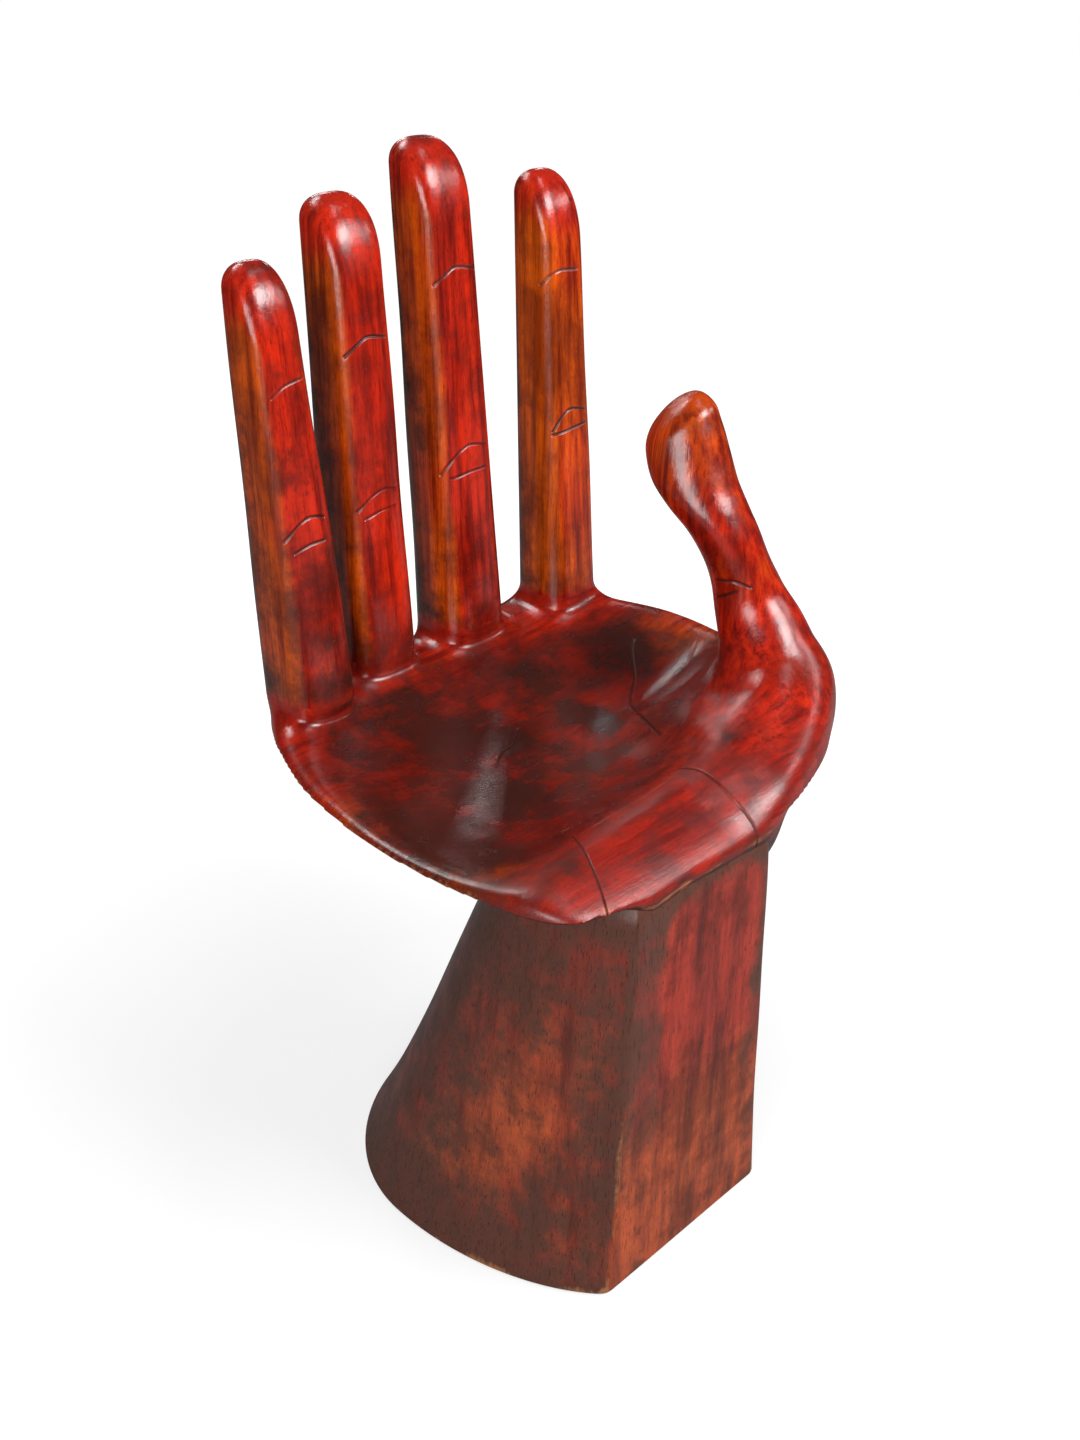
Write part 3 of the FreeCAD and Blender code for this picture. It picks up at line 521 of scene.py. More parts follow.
def thumb_form(p):
    """Ovals stacked along the thumb's bent line, under a top that falls to the pad."""
    x, y, z = p[..., 0], p[..., 1], p[..., 2]
    mid_x, mid_y, a, b = (np.interp(z, THUMB_LEVELS, column) for column in THUMB_FORM.T)
    u = (x - mid_x) * TO_PALM[0] + (y - mid_y) * TO_PALM[1]
    v = (x - mid_x) * ALONG_PALM[0] + (y - mid_y) * ALONG_PALM[1]
    thumb = oval_distance(u, v, a, b) * 0.85
    across = np.clip((u + a) / (2 * a), 0, 1.3)
    nail_side = np.clip(1 - across / 0.35, 0, 1)
    top = THUMB_TOP - 0.032 * across ** 2.6 - 0.006 * (np.abs(v) / b) ** 3 - 0.004 * nail_side ** 2
    slope = np.sqrt(1 + (0.083 * across ** 1.6 / (2 * a)) ** 2)
    thumb = soft_more(thumb, (z - top) / slope, 0.014)
    return soft_more(thumb, INSIDE_PALM - z, 0.020)


# The mound's middle line from under the heel to the thumb, with its radius.
MOUND = smooth_table(np.array([
    (0, 0.0850, -0.1320, 0.4100, 0.0430), (1, 0.1625, -0.1150, 0.4295, 0.0440),
    (2, 0.2220, -0.0845, 0.4540, 0.0455), (3, 0.2285, -0.0660, 0.4740, 0.0400),
    (4, 0.2300, -0.0540, 0.4940, 0.0320)]), np.linspace(0, 4, 65))


def thumb_mound(p):
    """Distance from a bent horn: the least of those from many balls along its middle."""
    mound = np.full(p.shape[:-1], 0.1)
    low, high = MOUND[:, :3].min(0) - 0.1, MOUND[:, :3].max(0) + 0.1
    near = np.nonzero(((p > low) & (p < high)).all(-1))
    for ball in MOUND:
        off = np.linalg.norm(p[near] - ball[:3], axis=-1) - ball[3]
        mound[near] = np.minimum(mound[near], off)
    return mound


# Fingers
# Four tapered square lengths with rounded arrises, bored and glued on to the back of the
# palm. Each leans a little, and its tip is curved over towards the pad.

FINGER_SEAT = 0.461
FINGER_GAPS = (-0.044, 0.058, 0.173)
SQUARENESS = 3.2
FINGERS = {
    # foot x and y, top x and y, width at foot and top, height of the top
    "little_finger": (-0.0910, 0.2190, -0.1005, 0.2310, 0.0720, 0.0480, 0.8395),
    "ring_finger": (0.0030, 0.2465, 0.0060, 0.2590, 0.0730, 0.0575, 0.8740),
    "middle_finger": (0.1130, 0.2425, 0.1015, 0.2545, 0.0750, 0.0585, 0.9100),
    "index_finger": (0.2335, 0.2240, 0.2275, 0.2365, 0.0685, 0.0515, 0.8710)}


def finger_form(p, finger):
    """A tapered bar whose section is |x|^s + |y|^s = w^s with s the squareness, under a top
    that falls towards the pad as a power of the way across."""
    foot_x, foot_y, top_x, top_y, foot_width, top_width, height = finger
    x, y, z = p[..., 0], p[..., 1], p[..., 2]
    share = (z - FINGER_SEAT) / (height - FINGER_SEAT)
    up = np.clip(share, -0.15, 1.05)
    mid_x, mid_y = foot_x + (top_x - foot_x) * up, foot_y + (top_y - foot_y) * up
    half = (foot_width + (top_width - foot_width) * share) / 2
    bar = (np.abs((x - mid_x) / half) ** SQUARENESS
           + np.abs((y - mid_y) / half) ** SQUARENESS) ** (1 / SQUARENESS)
    bar = (bar - 1) * half * 0.85
    pad = np.clip((mid_y + half - y) / (2 * half), 0, 1.3)
    side = np.abs(x - mid_x) / half
    back = np.clip(1 - pad / 0.45, 0, 1.3)
    top = height + 0.005 - 0.037 * pad ** 3.4 - 0.005 * side ** 2.5 - 0.004 * back ** 2
    side_slope = 0.013 * np.clip(side, 0, 1.2) ** 1.5 / half
    slope = np.sqrt(1 + (0.061 * pad ** 2.4 / half) ** 2 + side_slope ** 2)
    bar = soft_more(bar, (z - top) / slope, 0.016)
    return soft_more(bar, INSIDE_PALM - z, 0.020)


# Carving
# The glued blank is carved as one form with gouges and rasps, and sanded. Palm, thumb and
# fingers run into each other in coves, across the glued joints.

MOUND_COVE, THUMB_COVE, FINGER_COVE = 0.030, 0.028, 0.016
HAND_LOW, HAND_HIGH = (-0.20, -0.20, 0.34), (0.315, 0.30, 0.925)


def carved_form(p):
    """Signed distance, less than 0 in the wood: the least of palm, thumb and fingers, with
    coves between them, after the dish is taken out of the palm. Factors a little under 1 in
    the parts keep their distances below the true ones."""
    blank = palm_blank(p)
    roll, fade = heel_roll(p)
    blank = soft_more(blank, roll, 0.008) * (1 - fade) + blank * fade
    rim_rounding = 0.014 + 0.016 * np.clip((p[..., 0] - 0.12) / 0.08, 0, 1)
    blank = soft_less(blank, thumb_mound(p), MOUND_COVE)
    dished = soft_more(blank, above_dish(p), rim_rounding)
    fingers = np.minimum.reduce([finger_form(p, finger) for finger in FINGERS.values()])
    return soft_less(soft_less(dished, thumb_form(p), THUMB_COVE), fingers, FINGER_COVE)


def surface_where(field, low, high, step):
    """Points and quads where a field is nought. The field is read on a coarse grid, and
    then on the fine one near the surface. Each fine cell that the surface crosses gets one
    point, at the mean of the crossings on its edges, and each crossed edge gets one quad."""
    low = np.array(low)
    count = np.ceil((np.array(high) - low) / step / 4).astype(int) * 4 + 1
    axes = [low[k] + step * np.arange(count[k]) for k in range(3)]
    coarse_axes = [axis[::4] for axis in axes]
    coarse = field(np.stack(np.meshgrid(*coarse_axes, indexing="ij"), -1))
    nearest = [np.minimum((np.arange(n) + 2) // 4, len(c) - 1) for n, c in zip(count, coarse_axes)]
    values = coarse[np.ix_(*nearest)].astype(np.float32)
    close = np.nonzero(np.abs(values) < 7 * step)
    values[close] = field(np.stack([axes[k][close[k]] for k in range(3)], -1))
    solid = values < 0
    corners = [(i, j, k) for i in (0, 1) for j in (0, 1) for k in (0, 1)]
    size = [n - 1 for n in count]
    inside = sum(solid[i:i + size[0], j:j + size[1], k:k + size[2]].astype(np.int8)
                 for i, j, k in corners)
    cells = np.stack(np.nonzero((inside > 0) & (inside < 8)), -1)
    held = np.stack([values[cells[:, 0] + i, cells[:, 1] + j, cells[:, 2] + k]
                     for i, j, k in corners], -1)
    total, crossed = np.zeros((len(cells), 3)), np.zeros(len(cells))
    corners = np.array(corners)
    for first in range(8):
        for axis in range(3):
            if corners[first, axis] == 0:
                second = first + (4, 2, 1)[axis]
                a, b = held[:, first], held[:, second]
                crosses = (a < 0) != (b < 0)
                share = np.where(crosses, a / np.where(crosses, a - b, 1), 0)
                at = corners[first] + share[:, None] * (corners[second] - corners[first])
                total += at * crosses[:, None]
                crossed += crosses
    points = low + step * (cells + total / crossed[:, None])
    number = np.full(size, -1, np.int32)
    number[tuple(cells.T)] = np.arange(len(cells))
    quads = []
    for axis in range(3):
        one, two = (axis + 1) % 3, (axis + 2) % 3
        ahead = [slice(None)] * 3
        behind = [slice(None)] * 3
        ahead[axis], behind[axis] = slice(1, None), slice(None, -1)
        edge = np.stack(np.nonzero(solid[tuple(behind)] != solid[tuple(ahead)]), -1)
        ring = []
        for back_one, back_two in ((0, 0), (1, 0), (1, 1), (0, 1)):
            cell = edge.copy()
            cell[:, one] -= back_one
            cell[:, two] -= back_two
            ring.append(number[tuple(cell.T)])
        ring = np.stack(ring, -1)
        flip = ~solid[tuple(edge.T)]
        ring[flip] = ring[flip][:, ::-1]
        quads.append(ring)
    return points, np.concatenate(quads)


def slope_of(field, points, reach=0.0004):
    """Gradient of a field from its change over a short way along each axis."""
    change = [field(points + step) - field(points - step) for step in reach * np.eye(3)]
    return np.stack(change, -1) / (2 * reach)


def settle(field, points, rounds=2):
    """Moves points along the gradient on to the surface where the field is nought."""
    for _ in range(rounds):
        slope = slope_of(field, points)
        shift = field(points) / np.maximum((slope ** 2).sum(-1), 0.2)
        points = points - np.clip(shift, -0.003, 0.003)[:, None] * slope
    return points


def even_out(points, quads):
    """Moves each point half way to the mean of its neighbours."""
    near = np.roll(quads, -1, 1)
    total, count = np.zeros_like(points), np.bincount(quads.ravel(), minlength=len(points))
    for axis in range(3):
        total[:, axis] = (np.bincount(quads.ravel(), points[near.ravel(), axis], len(points))
                          + np.bincount(near.ravel(), points[quads.ravel(), axis], len(points)))
    return points + (total / (2 * count)[:, None] - points) / 2


hand_points, hand_quads = surface_where(carved_form, HAND_LOW, HAND_HIGH, 0.003)
for _ in range(2):
    hand_points = settle(carved_form, even_out(hand_points, hand_quads), 1)
hand_faces = np.concatenate([hand_quads[:, [0, 1, 2]], hand_quads[:, [0, 2, 3]]])


# Carved lines
# Knuckle creases cut with a small gouge, glue seams that have opened a little and checks
# in the dish. Each is a run of places, and the gouge follows them over the surface.

def curve_through(places, count=24):
    """Points of a smooth curve through places, each stretch a cubic as in smooth_table."""
    places = np.array(places)
    key = np.arange(len(places), dtype=float)[:, None]
    return smooth_table(np.hstack([key, places]), np.linspace(0, len(places) - 1, count))


CREASES = [
    [(-0.114, 0.202, 0.741), (-0.101, 0.201, 0.749), (-0.081, 0.203, 0.752)],
    [(-0.118, 0.197, 0.619), (-0.104, 0.194, 0.631), (-0.091, 0.194, 0.635),
     (-0.077, 0.195, 0.631)],
    [(-0.111, 0.193, 0.607), (-0.096, 0.192, 0.611), (-0.080, 0.193, 0.611)],
    [(-0.019, 0.229, 0.751), (-0.008, 0.225, 0.760), (0.004, 0.225, 0.765),
     (0.024, 0.226, 0.761)],
    [(-0.021, 0.222, 0.612), (-0.007, 0.218, 0.623), (0.008, 0.218, 0.627),
     (0.023, 0.219, 0.623)],
    [(-0.015, 0.219, 0.604), (0.002, 0.217, 0.608), (0.020, 0.218, 0.608)],
    [(0.080, 0.225, 0.796), (0.091, 0.221, 0.804), (0.103, 0.220, 0.809),
     (0.126, 0.223, 0.804)],
    [(0.078, 0.223, 0.621), (0.089, 0.215, 0.637), (0.106, 0.213, 0.646),
     (0.128, 0.215, 0.641)],
    [(0.085, 0.215, 0.617), (0.104, 0.212, 0.620), (0.126, 0.213, 0.620)],
    [(0.202, 0.218, 0.777), (0.209, 0.210, 0.786), (0.220, 0.206, 0.790),
     (0.240, 0.207, 0.788)],
    [(0.207, 0.204, 0.637), (0.214, 0.201, 0.649), (0.226, 0.200, 0.657),
     (0.248, 0.201, 0.652)],
    [(0.207, 0.204, 0.634), (0.224, 0.199, 0.637), (0.247, 0.200, 0.639)],
    [(0.194, -0.019, 0.556), (0.196, -0.038, 0.560), (0.205, -0.051, 0.555)],
    [(0.198, -0.020, 0.538), (0.197, -0.040, 0.550)]]
CHECKS = [
    [(0.234, 0.112, 0.436), (0.222, 0.104, 0.432), (0.190, 0.070, 0.422),
     (0.157, 0.045, 0.416), (0.136, 0.005, 0.420), (0.112, -0.034, 0.432)],
    [(0.050, 0.090, 0.411), (0.030, 0.074, 0.411), (0.012, 0.070, 0.412),
     (-0.008, 0.055, 0.412)]]
# Each kind of line has its half width, its depth and its runs, laid on the surface.
LINES = [(width, deep, [settle(carved_form, curve_through(run), 4) for run in runs])
         for width, deep, runs in ((0.0013, 0.0012, CREASES), (0.0009, 0.0022, CHECKS))]


def from_runs(p, runs):
    """Distance of points from the nearest of some runs of short straight stretches."""
    best = np.full(len(p), 1.0)
    for run in runs:
        near = np.nonzero(((p > run.min(0) - 0.012) & (p < run.max(0) + 0.012)).all(1))[0]
        for start, end in zip(run[:-1], run[1:]):
            along = end - start
            share = np.clip((p[near] - start) @ along / (along @ along), 0, 1)
            off = np.linalg.norm(p[near] - start - share[:, None] * along, axis=1)
            best[near] = np.minimum(best[near], off)
    return best


MIDDLE_SEAM = -0.105
RIGHT_SEAM = 0.0605
THUMB_SEAT = 0.488
BEHIND_THUMB = 0.12


def of_middle_seam(p):
    """Distance behind the seam between the slab and the blocks in front of it."""
    return p[:, 1] - MIDDLE_SEAM


def of_left_seam(p):
    """How far points lie right of the heel's slanting left seam, along X."""
    return p[:, 0] + 0.0708 - 0.523 * (p[:, 1] - MIDDLE_SEAM)


def of_right_seam(p):
    """Distance right of the heel's right seam."""
    return p[:, 0] - RIGHT_SEAM


def of_diagonal_seam(p):
    """Distance behind the seam that runs back and right under the thumb's root."""
    return 0.788 * (p[:, 1] - MIDDLE_SEAM) - 0.616 * (p[:, 0] - RIGHT_SEAM)


def from_seams(p):
    """Distances of points from the two glue seams that show, on top of the heel."""
    left = of_left_seam(p) / 1.1285
    right = of_right_seam(p) - 0.0012 * np.sin(90 * p[:, 1])
    shows = (p[:, 1] < -0.100) & (p[:, 2] > 0.405) & (p[:, 2] < THUMB_SEAT)
    return np.where(shows, np.abs(left), 1), np.where(shows, np.abs(right), 1)


def gouge_depth(p):
    """Depth cut away at points: each line is a rounded V across its width."""
    depth = np.zeros(len(p))
    for width, deep, runs in LINES:
        depth += deep * np.exp(-(from_runs(p, runs) / width) ** 2)
    for off, width in zip(from_seams(p), (0.0007, 0.0008)):
        depth += 0.0012 * np.exp(-(off / width) ** 2)
    return depth


def finished_form(p):
    """The carved form with its lines cut in, and slightly uneven from hand tools."""
    x, y, z = p[..., 0], p[..., 1], p[..., 2]
    uneven = 0.0007 * (np.sin(31 * x + 11 * z) * np.sin(27 * y - 13 * x + 2)
                       * np.sin(19 * z + 8 * y + 1))
    return carved_form(p) + uneven + gouge_depth(p)


def near_lines(length):
    """Halves edges longer than a length that lie by a carved line."""
    def wanted(a, b):
        middle = (a + b) / 2
        off = np.minimum(np.minimum(*from_seams(middle)), 1)
        for _, _, runs in LINES:
            off = np.minimum(off, from_runs(middle, runs))
        long_enough = np.linalg.norm(b - a, axis=1) > length
        return np.where((off < 0.0035 + length) & long_enough, 0.5, np.nan)
    return wanted


for length in (0.0020, 0.0012, 0.0008):
    hand_points, hand_faces = split_edges(hand_points, hand_faces, near_lines(length))
    hand_points = settle(carved_form, hand_points, 1)
hand_points = settle(finished_form, hand_points, 2)


SAW_CUTS = [
    (lambda p: p[:, 2] - FINGER_SEAT, lambda p: p[:, 1] > BEHIND_THUMB),
    (lambda p: p[:, 2] - THUMB_SEAT, lambda p: p[:, 1] < BEHIND_THUMB),
    (of_middle_seam, lambda p: (p[:, 0] < RIGHT_SEAM) & (p[:, 2] < THUMB_SEAT)),
    (of_left_seam, lambda p: p[:, 1] < MIDDLE_SEAM),
    (of_right_seam, lambda p: p[:, 1] < MIDDLE_SEAM),
    (of_diagonal_seam, lambda p: (p[:, 0] > RIGHT_SEAM) & (p[:, 2] < THUMB_SEAT))]
for distance, where in SAW_CUTS:
    hand_points, hand_faces = cut_at(hand_points, hand_faces, distance, where)
hand_normals = slope_of(finished_form, hand_points)
hand_normals /= np.linalg.norm(hand_normals, axis=1, keepdims=True)
middles = hand_points[hand_faces].mean(1)
in_front = middles[:, 1] < MIDDLE_SEAM
hand_names = ["palm_slab", "heel_block", "little_finger_side_block", "thumb_root_block", "thumb",
              *FINGERS]
piece_of = np.select(
    [(middles[:, 2] > FINGER_SEAT) & (middles[:, 1] > BEHIND_THUMB),
     (middles[:, 2] > THUMB_SEAT) & (middles[:, 1] < BEHIND_THUMB),
     (of_right_seam(middles) > 0) & (of_diagonal_seam(middles) < 0),
     in_front & (of_left_seam(middles) < 0),
     in_front & (of_right_seam(middles) < 0)],
    [5 + np.searchsorted(FINGER_GAPS, middles[:, 0]), 4, 3, 2, 1], 0)


# Stain and painted shade
# The palm and the thumb's root are crimson under a dark, blotched dish. The fingers are
# amber on their left faces and crimson in front. Rims and edges are worn to the wood. Shade
# is painted darker under the palm and the heel, on the fingers' left and back-left faces, at
# their feet and in the knuckle creases.

LEFT_RIM = [(-0.098, 0.262, 0.428), (-0.117, 0.249, 0.428), (-0.141, 0.205, 0.428),
            (-0.153, 0.173, 0.428), (-0.166, 0.139, 0.428), (-0.174, 0.103, 0.428),
            (-0.179, 0.065, 0.428), (-0.181, 0.027, 0.428), (-0.181, -0.012, 0.428),
            (-0.177, -0.053, 0.428), (-0.169, -0.091, 0.428), (-0.162, -0.117, 0.426),
            (-0.152, -0.150, 0.422), (-0.133, -0.174, 0.416), (-0.110, -0.186, 0.412)]
DISH_CREST = [(-0.150, -0.060, 0.440), (-0.106, -0.060, 0.430), (-0.042, -0.085, 0.432),
              (0.020, -0.098, 0.440), (0.070, -0.112, 0.455)]
# Round spots in the stain: place, radius and strength.
AMBER_SPOTS = [
    (0.245, 0.100, 0.440, 0.050, 0.55), (0.260, 0.050, 0.445, 0.040, 0.55),
    (-0.165, 0.060, 0.436, 0.050, 0.55), (-0.150, -0.080, 0.432, 0.060, 0.65),
    (-0.120, -0.150, 0.436, 0.035, 0.35)]
BLACK_SPOTS = [
    (0.114, 0.070, 0.412, 0.016, 0.90), (0.122, 0.042, 0.413, 0.020, 0.50),
    (0.034, 0.078, 0.412, 0.022, 0.70), (0.005, 0.120, 0.413, 0.040, 0.35),
    (0.060, 0.000, 0.418, 0.035, 0.40), (-0.038, 0.030, 0.414, 0.030, 0.35),
    (0.117, 0.121, 0.414, 0.035, 0.40), (-0.003, 0.119, 0.414, 0.030, 0.30),
    (-0.034, -0.003, 0.414, 0.035, 0.30), (0.198, 0.057, 0.425, 0.030, 0.10),
    (0.190, 0.015, 0.420, 0.030, -0.25), (0.220, 0.130, 0.437, 0.050, 0.50),
    (-0.137, -0.054, 0.435, 0.035, 0.50), (-0.019, 0.186, 0.437, 0.040, 0.30),
    (0.189, -0.045, 0.486, 0.030, 0.45), (0.225, -0.015, 0.520, 0.030, 0.30),
    (0.185, -0.030, 0.500, 0.025, 0.60), (0.110, -0.114, 0.466, 0.012, 0.60),
    (-0.104, -0.130, 0.440, 0.022, 0.35), (-0.094, 0.047, 0.418, 0.070, 0.25),
    (-0.155, -0.010, 0.435, 0.060, 0.40), (-0.150, 0.110, 0.437, 0.040, 0.25)]
ROSY_SPOTS = [
    (0.090, -0.017, 0.418, 0.028, 0.90), (0.150, 0.000, 0.430, 0.060, 0.35),
    (-0.010, 0.030, 0.413, 0.030, 0.35), (0.120, 0.150, 0.420, 0.050, 0.35)]
SLATE_SPOTS = [
    (0.122, 0.042, 0.413, 0.018, 0.80), (0.030, 0.070, 0.412, 0.014, 0.50),
    (0.103, 0.018, 0.414, 0.018, 0.50), (-0.015, 0.020, 0.413, 0.020, 0.30)]
WORN_SPOTS = [
    (-0.110, -0.179, 0.431, 0.006, 0.55), (-0.102, -0.171, 0.436, 0.004, 0.40)]


def along(p, places, width):
    """1 on a run of places and less beside it: exp(-(distance / width) ** 2)."""
    run = curve_through(places, 60)
    nearest = np.full(len(p), 1.0)
    close = np.nonzero(((p > run.min(0) - 3 * width) & (p < run.max(0) + 3 * width)).all(1))[0]
    for place in run:
        nearest[close] = np.minimum(nearest[close], np.linalg.norm(p[close] - place, axis=1))
    return np.exp(-(nearest / width) ** 2)


def hand_marks(p, normals):
    """Where the hand's stain is amber, black and so on, and where shade is painted darker into
    the black. Zones such as the dish, the heel or a fingertip are smooth steps of place and
    facing, and a mark is a sum of zones, of runs along the rims and of round spots."""
    x, y, z = p.T
    left, forward = -normals[:, 0], -normals[:, 1]
    # Zones: each is 1 on its part of the hand and fades to 0 at its border.
    finger = ramp(z, 0.455, 0.475) * ramp(y, 0.14, 0.16)
    index = ramp(x, 0.170, 0.180)
    thumb = ramp(z, 0.440, 0.500) * ramp(y, 0.12, 0.10) * ramp(x, 0.08, 0.14)
    # On each finger, up runs from the seat to the tip and pad from the back to the front.
    which = np.searchsorted(FINGER_GAPS, x)
    _, foot_y, _, top_y, foot_width, top_width, top = np.array(list(FINGERS.values()))[which].T
    tip = finger * ramp(top - z, 0.060, 0.012)
    up = (z - FINGER_SEAT) / (top - FINGER_SEAT)
    half = (foot_width + (top_width - foot_width) * up) / 2
    pad = (foot_y + (top_y - foot_y) * up + half - y) / (2 * half)
    # Painted shade on the fingers' left faces, fading towards the pad, deepest on the ring and
    # middle fingers.
    shaded = ramp(left, 0.5, 0.9) * ramp(pad, 0.90, 0.20)
    shaded *= np.array([0.30, 0.50, 0.50, 0.30])[which]
    strip = ramp(left, 0.25, 0.75)
    # back_left is painted shade on the faces turned left and back.
    back_left = ramp(left, 0.2, 0.6) * ramp(forward, -0.15, -0.5)
    back = ramp(forward, -0.3, -0.8)
    out, turn = about_the_middle(p)
    reach = np.interp(turn, TURN, CREST[:, 0])
    palm = (1 - finger) * (1 - thumb)
    upward = normals[:, 2]
    dish = ramp(out / reach, 1.02, 0.86) * ramp(upward, 0.2, 0.6) * palm
    # under is painted shade on the palm's underside.
    under = ramp(upward, -0.05, -0.5) * palm
    heel = ramp(y, -0.085, -0.110) * (1 - thumb)
    amber = (finger * (0.05 + 0.62 * strip + index * (0.50 - 0.25 * strip) - 0.6 * tip)
             + thumb * (0.10 + 0.45 * ramp(z, 0.600, 0.700)
                        + 0.20 * ramp(np.abs(z - 0.555), 0.05, 0.0))
             + palm * (0.10 - 0.25 * dish - 0.30 * heel)
             + spots(p, AMBER_SPOTS))
    # The black mark holds painted shade on the fingers' back-left and left faces, where each
    # finger meets the palm, on the palm's underside and on the heel's lower part. The fingers also
    # grow darker towards the bottom; the rest is black stain.
    black_and_shade = (finger * (0.55 * back_left + 0.30 * back + 0.30 * ramp(up, 0.08, 0.0)
                       + shaded * ramp(up, 1.05, 0.45) + 0.28 * ramp(up, 0.95, 0.2) - 0.10
                       - 0.15 * index + 0.22 * (which == 0) * ramp(forward, 0.3, 0.8)
                       + 0.35 * tip * ramp(upward, 0.5, 0.9))
             - 0.42 * thumb + 0.25 * dish + 0.45 * under + 0.16 * palm
             # On the heel, black stain, and painted shade on its lower part over the wrist.
             + heel * (0.10 + 0.45 * ramp(z, 0.428, 0.412))
             + spots(p, BLACK_SPOTS))
    rosy = spots(p, ROSY_SPOTS) + 0.20 * dish + 0.30 * heel + 0.35 * tip * ramp(upward, 0.2, 0.8)
    slate = spots(p, SLATE_SPOTS)
    worn = (0.50 * along(p, LEFT_RIM, 0.0055) + 0.18 * along(p, LEFT_RIM, 0.013)
            + 0.40 * along(p, DISH_CREST, 0.006) + spots(p, WORN_SPOTS)
            + 0.45 * heel * ramp(upward, 0.25, 0.0) * ramp(z, 0.408, 0.416) * ramp(z, 0.426, 0.418)
            + 0.33 * tip * ramp(up, 0.95, 0.985) * ramp(left, 0.3, 0.6))
    # line darkens the cut lines: painted shade in the knuckle creases, and the dark of the opened
    # seams and checks.
    line = np.minimum(gouge_depth(p) / 0.0009, 1) * 0.9
    dull = 0.11 * heel + 0.08 * ramp(z, 0.445, 0.40) * (1 - dish)
    deep = palm * (0.32 + 0.16 * dish + 0.14 * heel)
    return {"amber": amber, "black_and_shade": black_and_shade, "rosy": rosy, "slate": slate, "deep": deep,
            "worn": worn, "dull": dull, "line": line}


# Crimson and amber, each dark and light, then black for black stain and painted shade, and bare
# worn wood.
STAINS = (((0.130, 0.0038, 0.0020, 1), (0.56, 0.0190, 0.0040, 1)),
          ((0.140, 0.0210, 0.0015, 1), (0.60, 0.0880, 0.0030, 1)),
          (0.022, 0.0065, 0.0050, 1), (0.42, 0.12, 0.04, 1))
PALM_WOOD = stained_wood("palm_wood", 0.22, 0.42, *STAINS)
FINGER_WOOD = stained_wood("finger_wood", 0.22, 0.42, *STAINS)


def turned_grain(p):
    """Places in the planks of the palm and thumb, and how upright the grain is there. The
    palm's grain runs along X, and turns in the root by up to 90 degrees to run up the thumb:
    x' = x cos a - z sin a and z' = x sin a + z cos a, from the middle of the root."""
    x, y, z = p.T
    up = ramp(z + 0.45 * (x - 0.20), 0.425, 0.515) * ramp(y, 0.08, 0.02)
    turn = np.pi / 2 * (1 - up)
    x, z = x - 0.21, z - 0.46
    turned = [x * np.cos(turn) - z * np.sin(turn), y, x * np.sin(turn) + z * np.cos(turn)]
    return np.stack(turned, -1), up


marks = hand_marks(hand_points, hand_normals)
palm_grain, upright = turned_grain(hand_points)
along_x, along_z = np.abs(hand_normals[:, 0]), np.abs(hand_normals[:, 2])
for number, name in enumerate(hand_names):
    is_finger = number > 4
    marks["grain"] = hand_points if is_finger else palm_grain
    end_on = along_z if is_finger else along_x * (1 - upright) + along_z * upright
    marks["end"] = ramp(end_on, 0.45, 0.95)
    piece = put_piece(name, hand_points, hand_normals, hand_faces[piece_of == number], marks, name)
    piece.data.materials.append(FINGER_WOOD if number > 3 else PALM_WOOD)


# Dowels
# Plain turned beech pegs, glued into bores and hidden in the wood: one under each finger,
# two under the thumb, and the rest between the boards, the slab and its blocks.

DOWEL_WOOD = bpy.data.materials.new("dowel_wood")
DOWEL_WOOD.use_nodes = True
tree = DOWEL_WOOD.node_tree
fibres = cloth_of_noise(tree, node(tree, "TexCoord", 3), (300, 300, 60), 4)
beech = blend(tree, spread(tree, fibres, 0.35, 0.65), (0.36, 0.21, 0.10, 1), (0.62, 0.44, 0.27, 1))
tree.links.new(beech, tree.nodes["Principled BSDF"].inputs["Base Color"])
tree.nodes["Principled BSDF"].inputs["Roughness"].default_value = 0.6
for name in ("finger_dowels", "thumb_dowels", "wrist_board_dowels", "seat_dowels", "block_dowels"):
    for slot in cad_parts[name].material_slots:
        slot.material = DOWEL_WOOD


# Floor, lights and camera
# The camera sees the floor as white paper: its own light is added to what the lamps give
# it, more with distance, so that only the chair's soft shadow shows.

mesh = bpy.data.meshes.new("floor")
mesh.from_pydata([(-20, -20, 0), (20, -20, 0), (20, 20, 0), (-20, 20, 0)], [], [(0, 1, 2, 3)])
floor = bpy.data.objects.new("floor", mesh)
bpy.context.collection.objects.link(floor)
paper = bpy.data.materials.new("white_paper")
paper.use_nodes = True
tree = paper.node_tree
shader = tree.nodes["Principled BSDF"]
shader.inputs["Base Color"].default_value = (0.27, 0.27, 0.27, 1)
shader.inputs["Roughness"].default_value = 1.0
shader.inputs["Specular IOR Level"].default_value = 0.0
away = node(tree, "VectorMath", 1, {0: node(tree, "TexCoord", 3)}, operation="LENGTH")
away = node(tree, "MapRange", 0, {"Value": away, "From Min": 0.35, "From Max": 1.3,
                                  "To Min": 0.68, "To Max": 1.0})
seen = node(tree, "LightPath", 0)
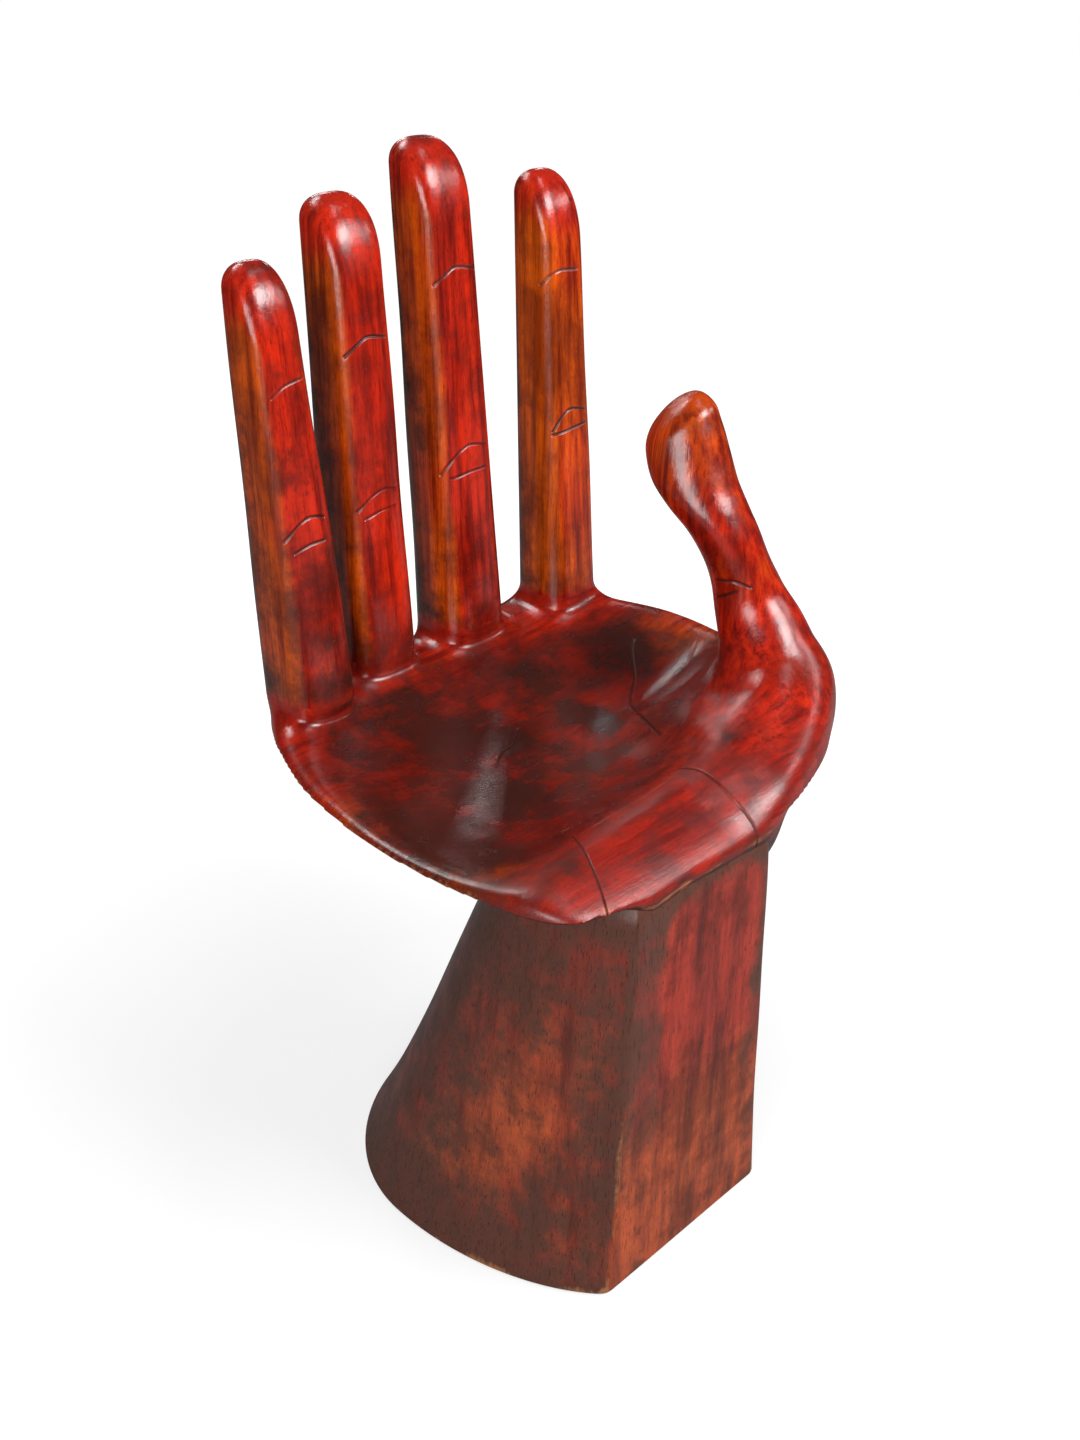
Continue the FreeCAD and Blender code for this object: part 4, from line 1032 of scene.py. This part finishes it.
tree.links.new(node(tree, "Math", 0, {0: away, 1: seen}, operation="MULTIPLY"),
               shader.inputs["Emission Strength"])
shader.inputs["Emission Color"].default_value = (1, 1, 1, 1)
mesh.materials.append(paper)


def soft_light(name, toward, distance, size, power, aim=(0.06, 0.03, 0.45)):
    """A lamp of a size at a distance in a direction from the chair, turned to face it."""
    lamp = bpy.data.lights.new(name, "AREA")
    lamp.shape = "RECTANGLE"
    lamp.size, lamp.size_y = size
    lamp.energy = power
    holder = bpy.data.objects.new(name, lamp)
    direction = Vector(toward).normalized()
    holder.location = Vector(aim) + direction * distance
    holder.rotation_euler = direction.to_track_quat("Z", "Y").to_euler()
    bpy.context.collection.objects.link(holder)


soft_light("front_light", (0.28, -0.70, 0.62), 2.4, (1.1, 0.8), 68)
soft_light("right_light", (0.74, -0.46, 0.49), 2.4, (0.8, 0.22), 7)
soft_light("left_light", (-0.85, -0.50, 0.25), 2.6, (1.4, 1.2), 60)
soft_light("top_light", (0.24, -0.14, 0.95), 2.3, (1.1, 0.30), 6)
soft_light("back_light", (0.38, 0.81, 0.45), 2.6, (0.6, 0.18), 5)
soft_light("dish_light", (0.65, 0.64, 0.41), 2.6, (0.14, 0.14), 1)
soft_light("back_top_light", (-0.04, 0.58, 0.80), 2.5, (1.2, 0.32), 28)

world = bpy.data.worlds.new("white_room")
bpy.context.scene.world = world
world.use_nodes = True
tree = world.node_tree
tree.nodes["Background"].inputs["Color"].default_value = (1, 1, 1, 1)
seen = node(tree, "LightPath", 0)
tree.links.new(node(tree, "MapRange", 0, {"Value": seen, "To Min": 0.06, "To Max": 1.0}),
               tree.nodes["Background"].inputs["Strength"])

camera_data = bpy.data.cameras.new("camera")
camera_data.sensor_fit = "VERTICAL"
camera_data.sensor_height = 36.0
camera_data.lens = 36.5
camera = bpy.data.objects.new("camera", camera_data)
camera.location = (-0.75772, -0.77899, 1.107)
camera.rotation_euler = (np.radians(60), 0, -np.arctan2(0.6938, 0.7202))
bpy.context.collection.objects.link(camera)
bpy.context.scene.camera = camera
bpy.context.scene.view_settings.view_transform = "Standard"
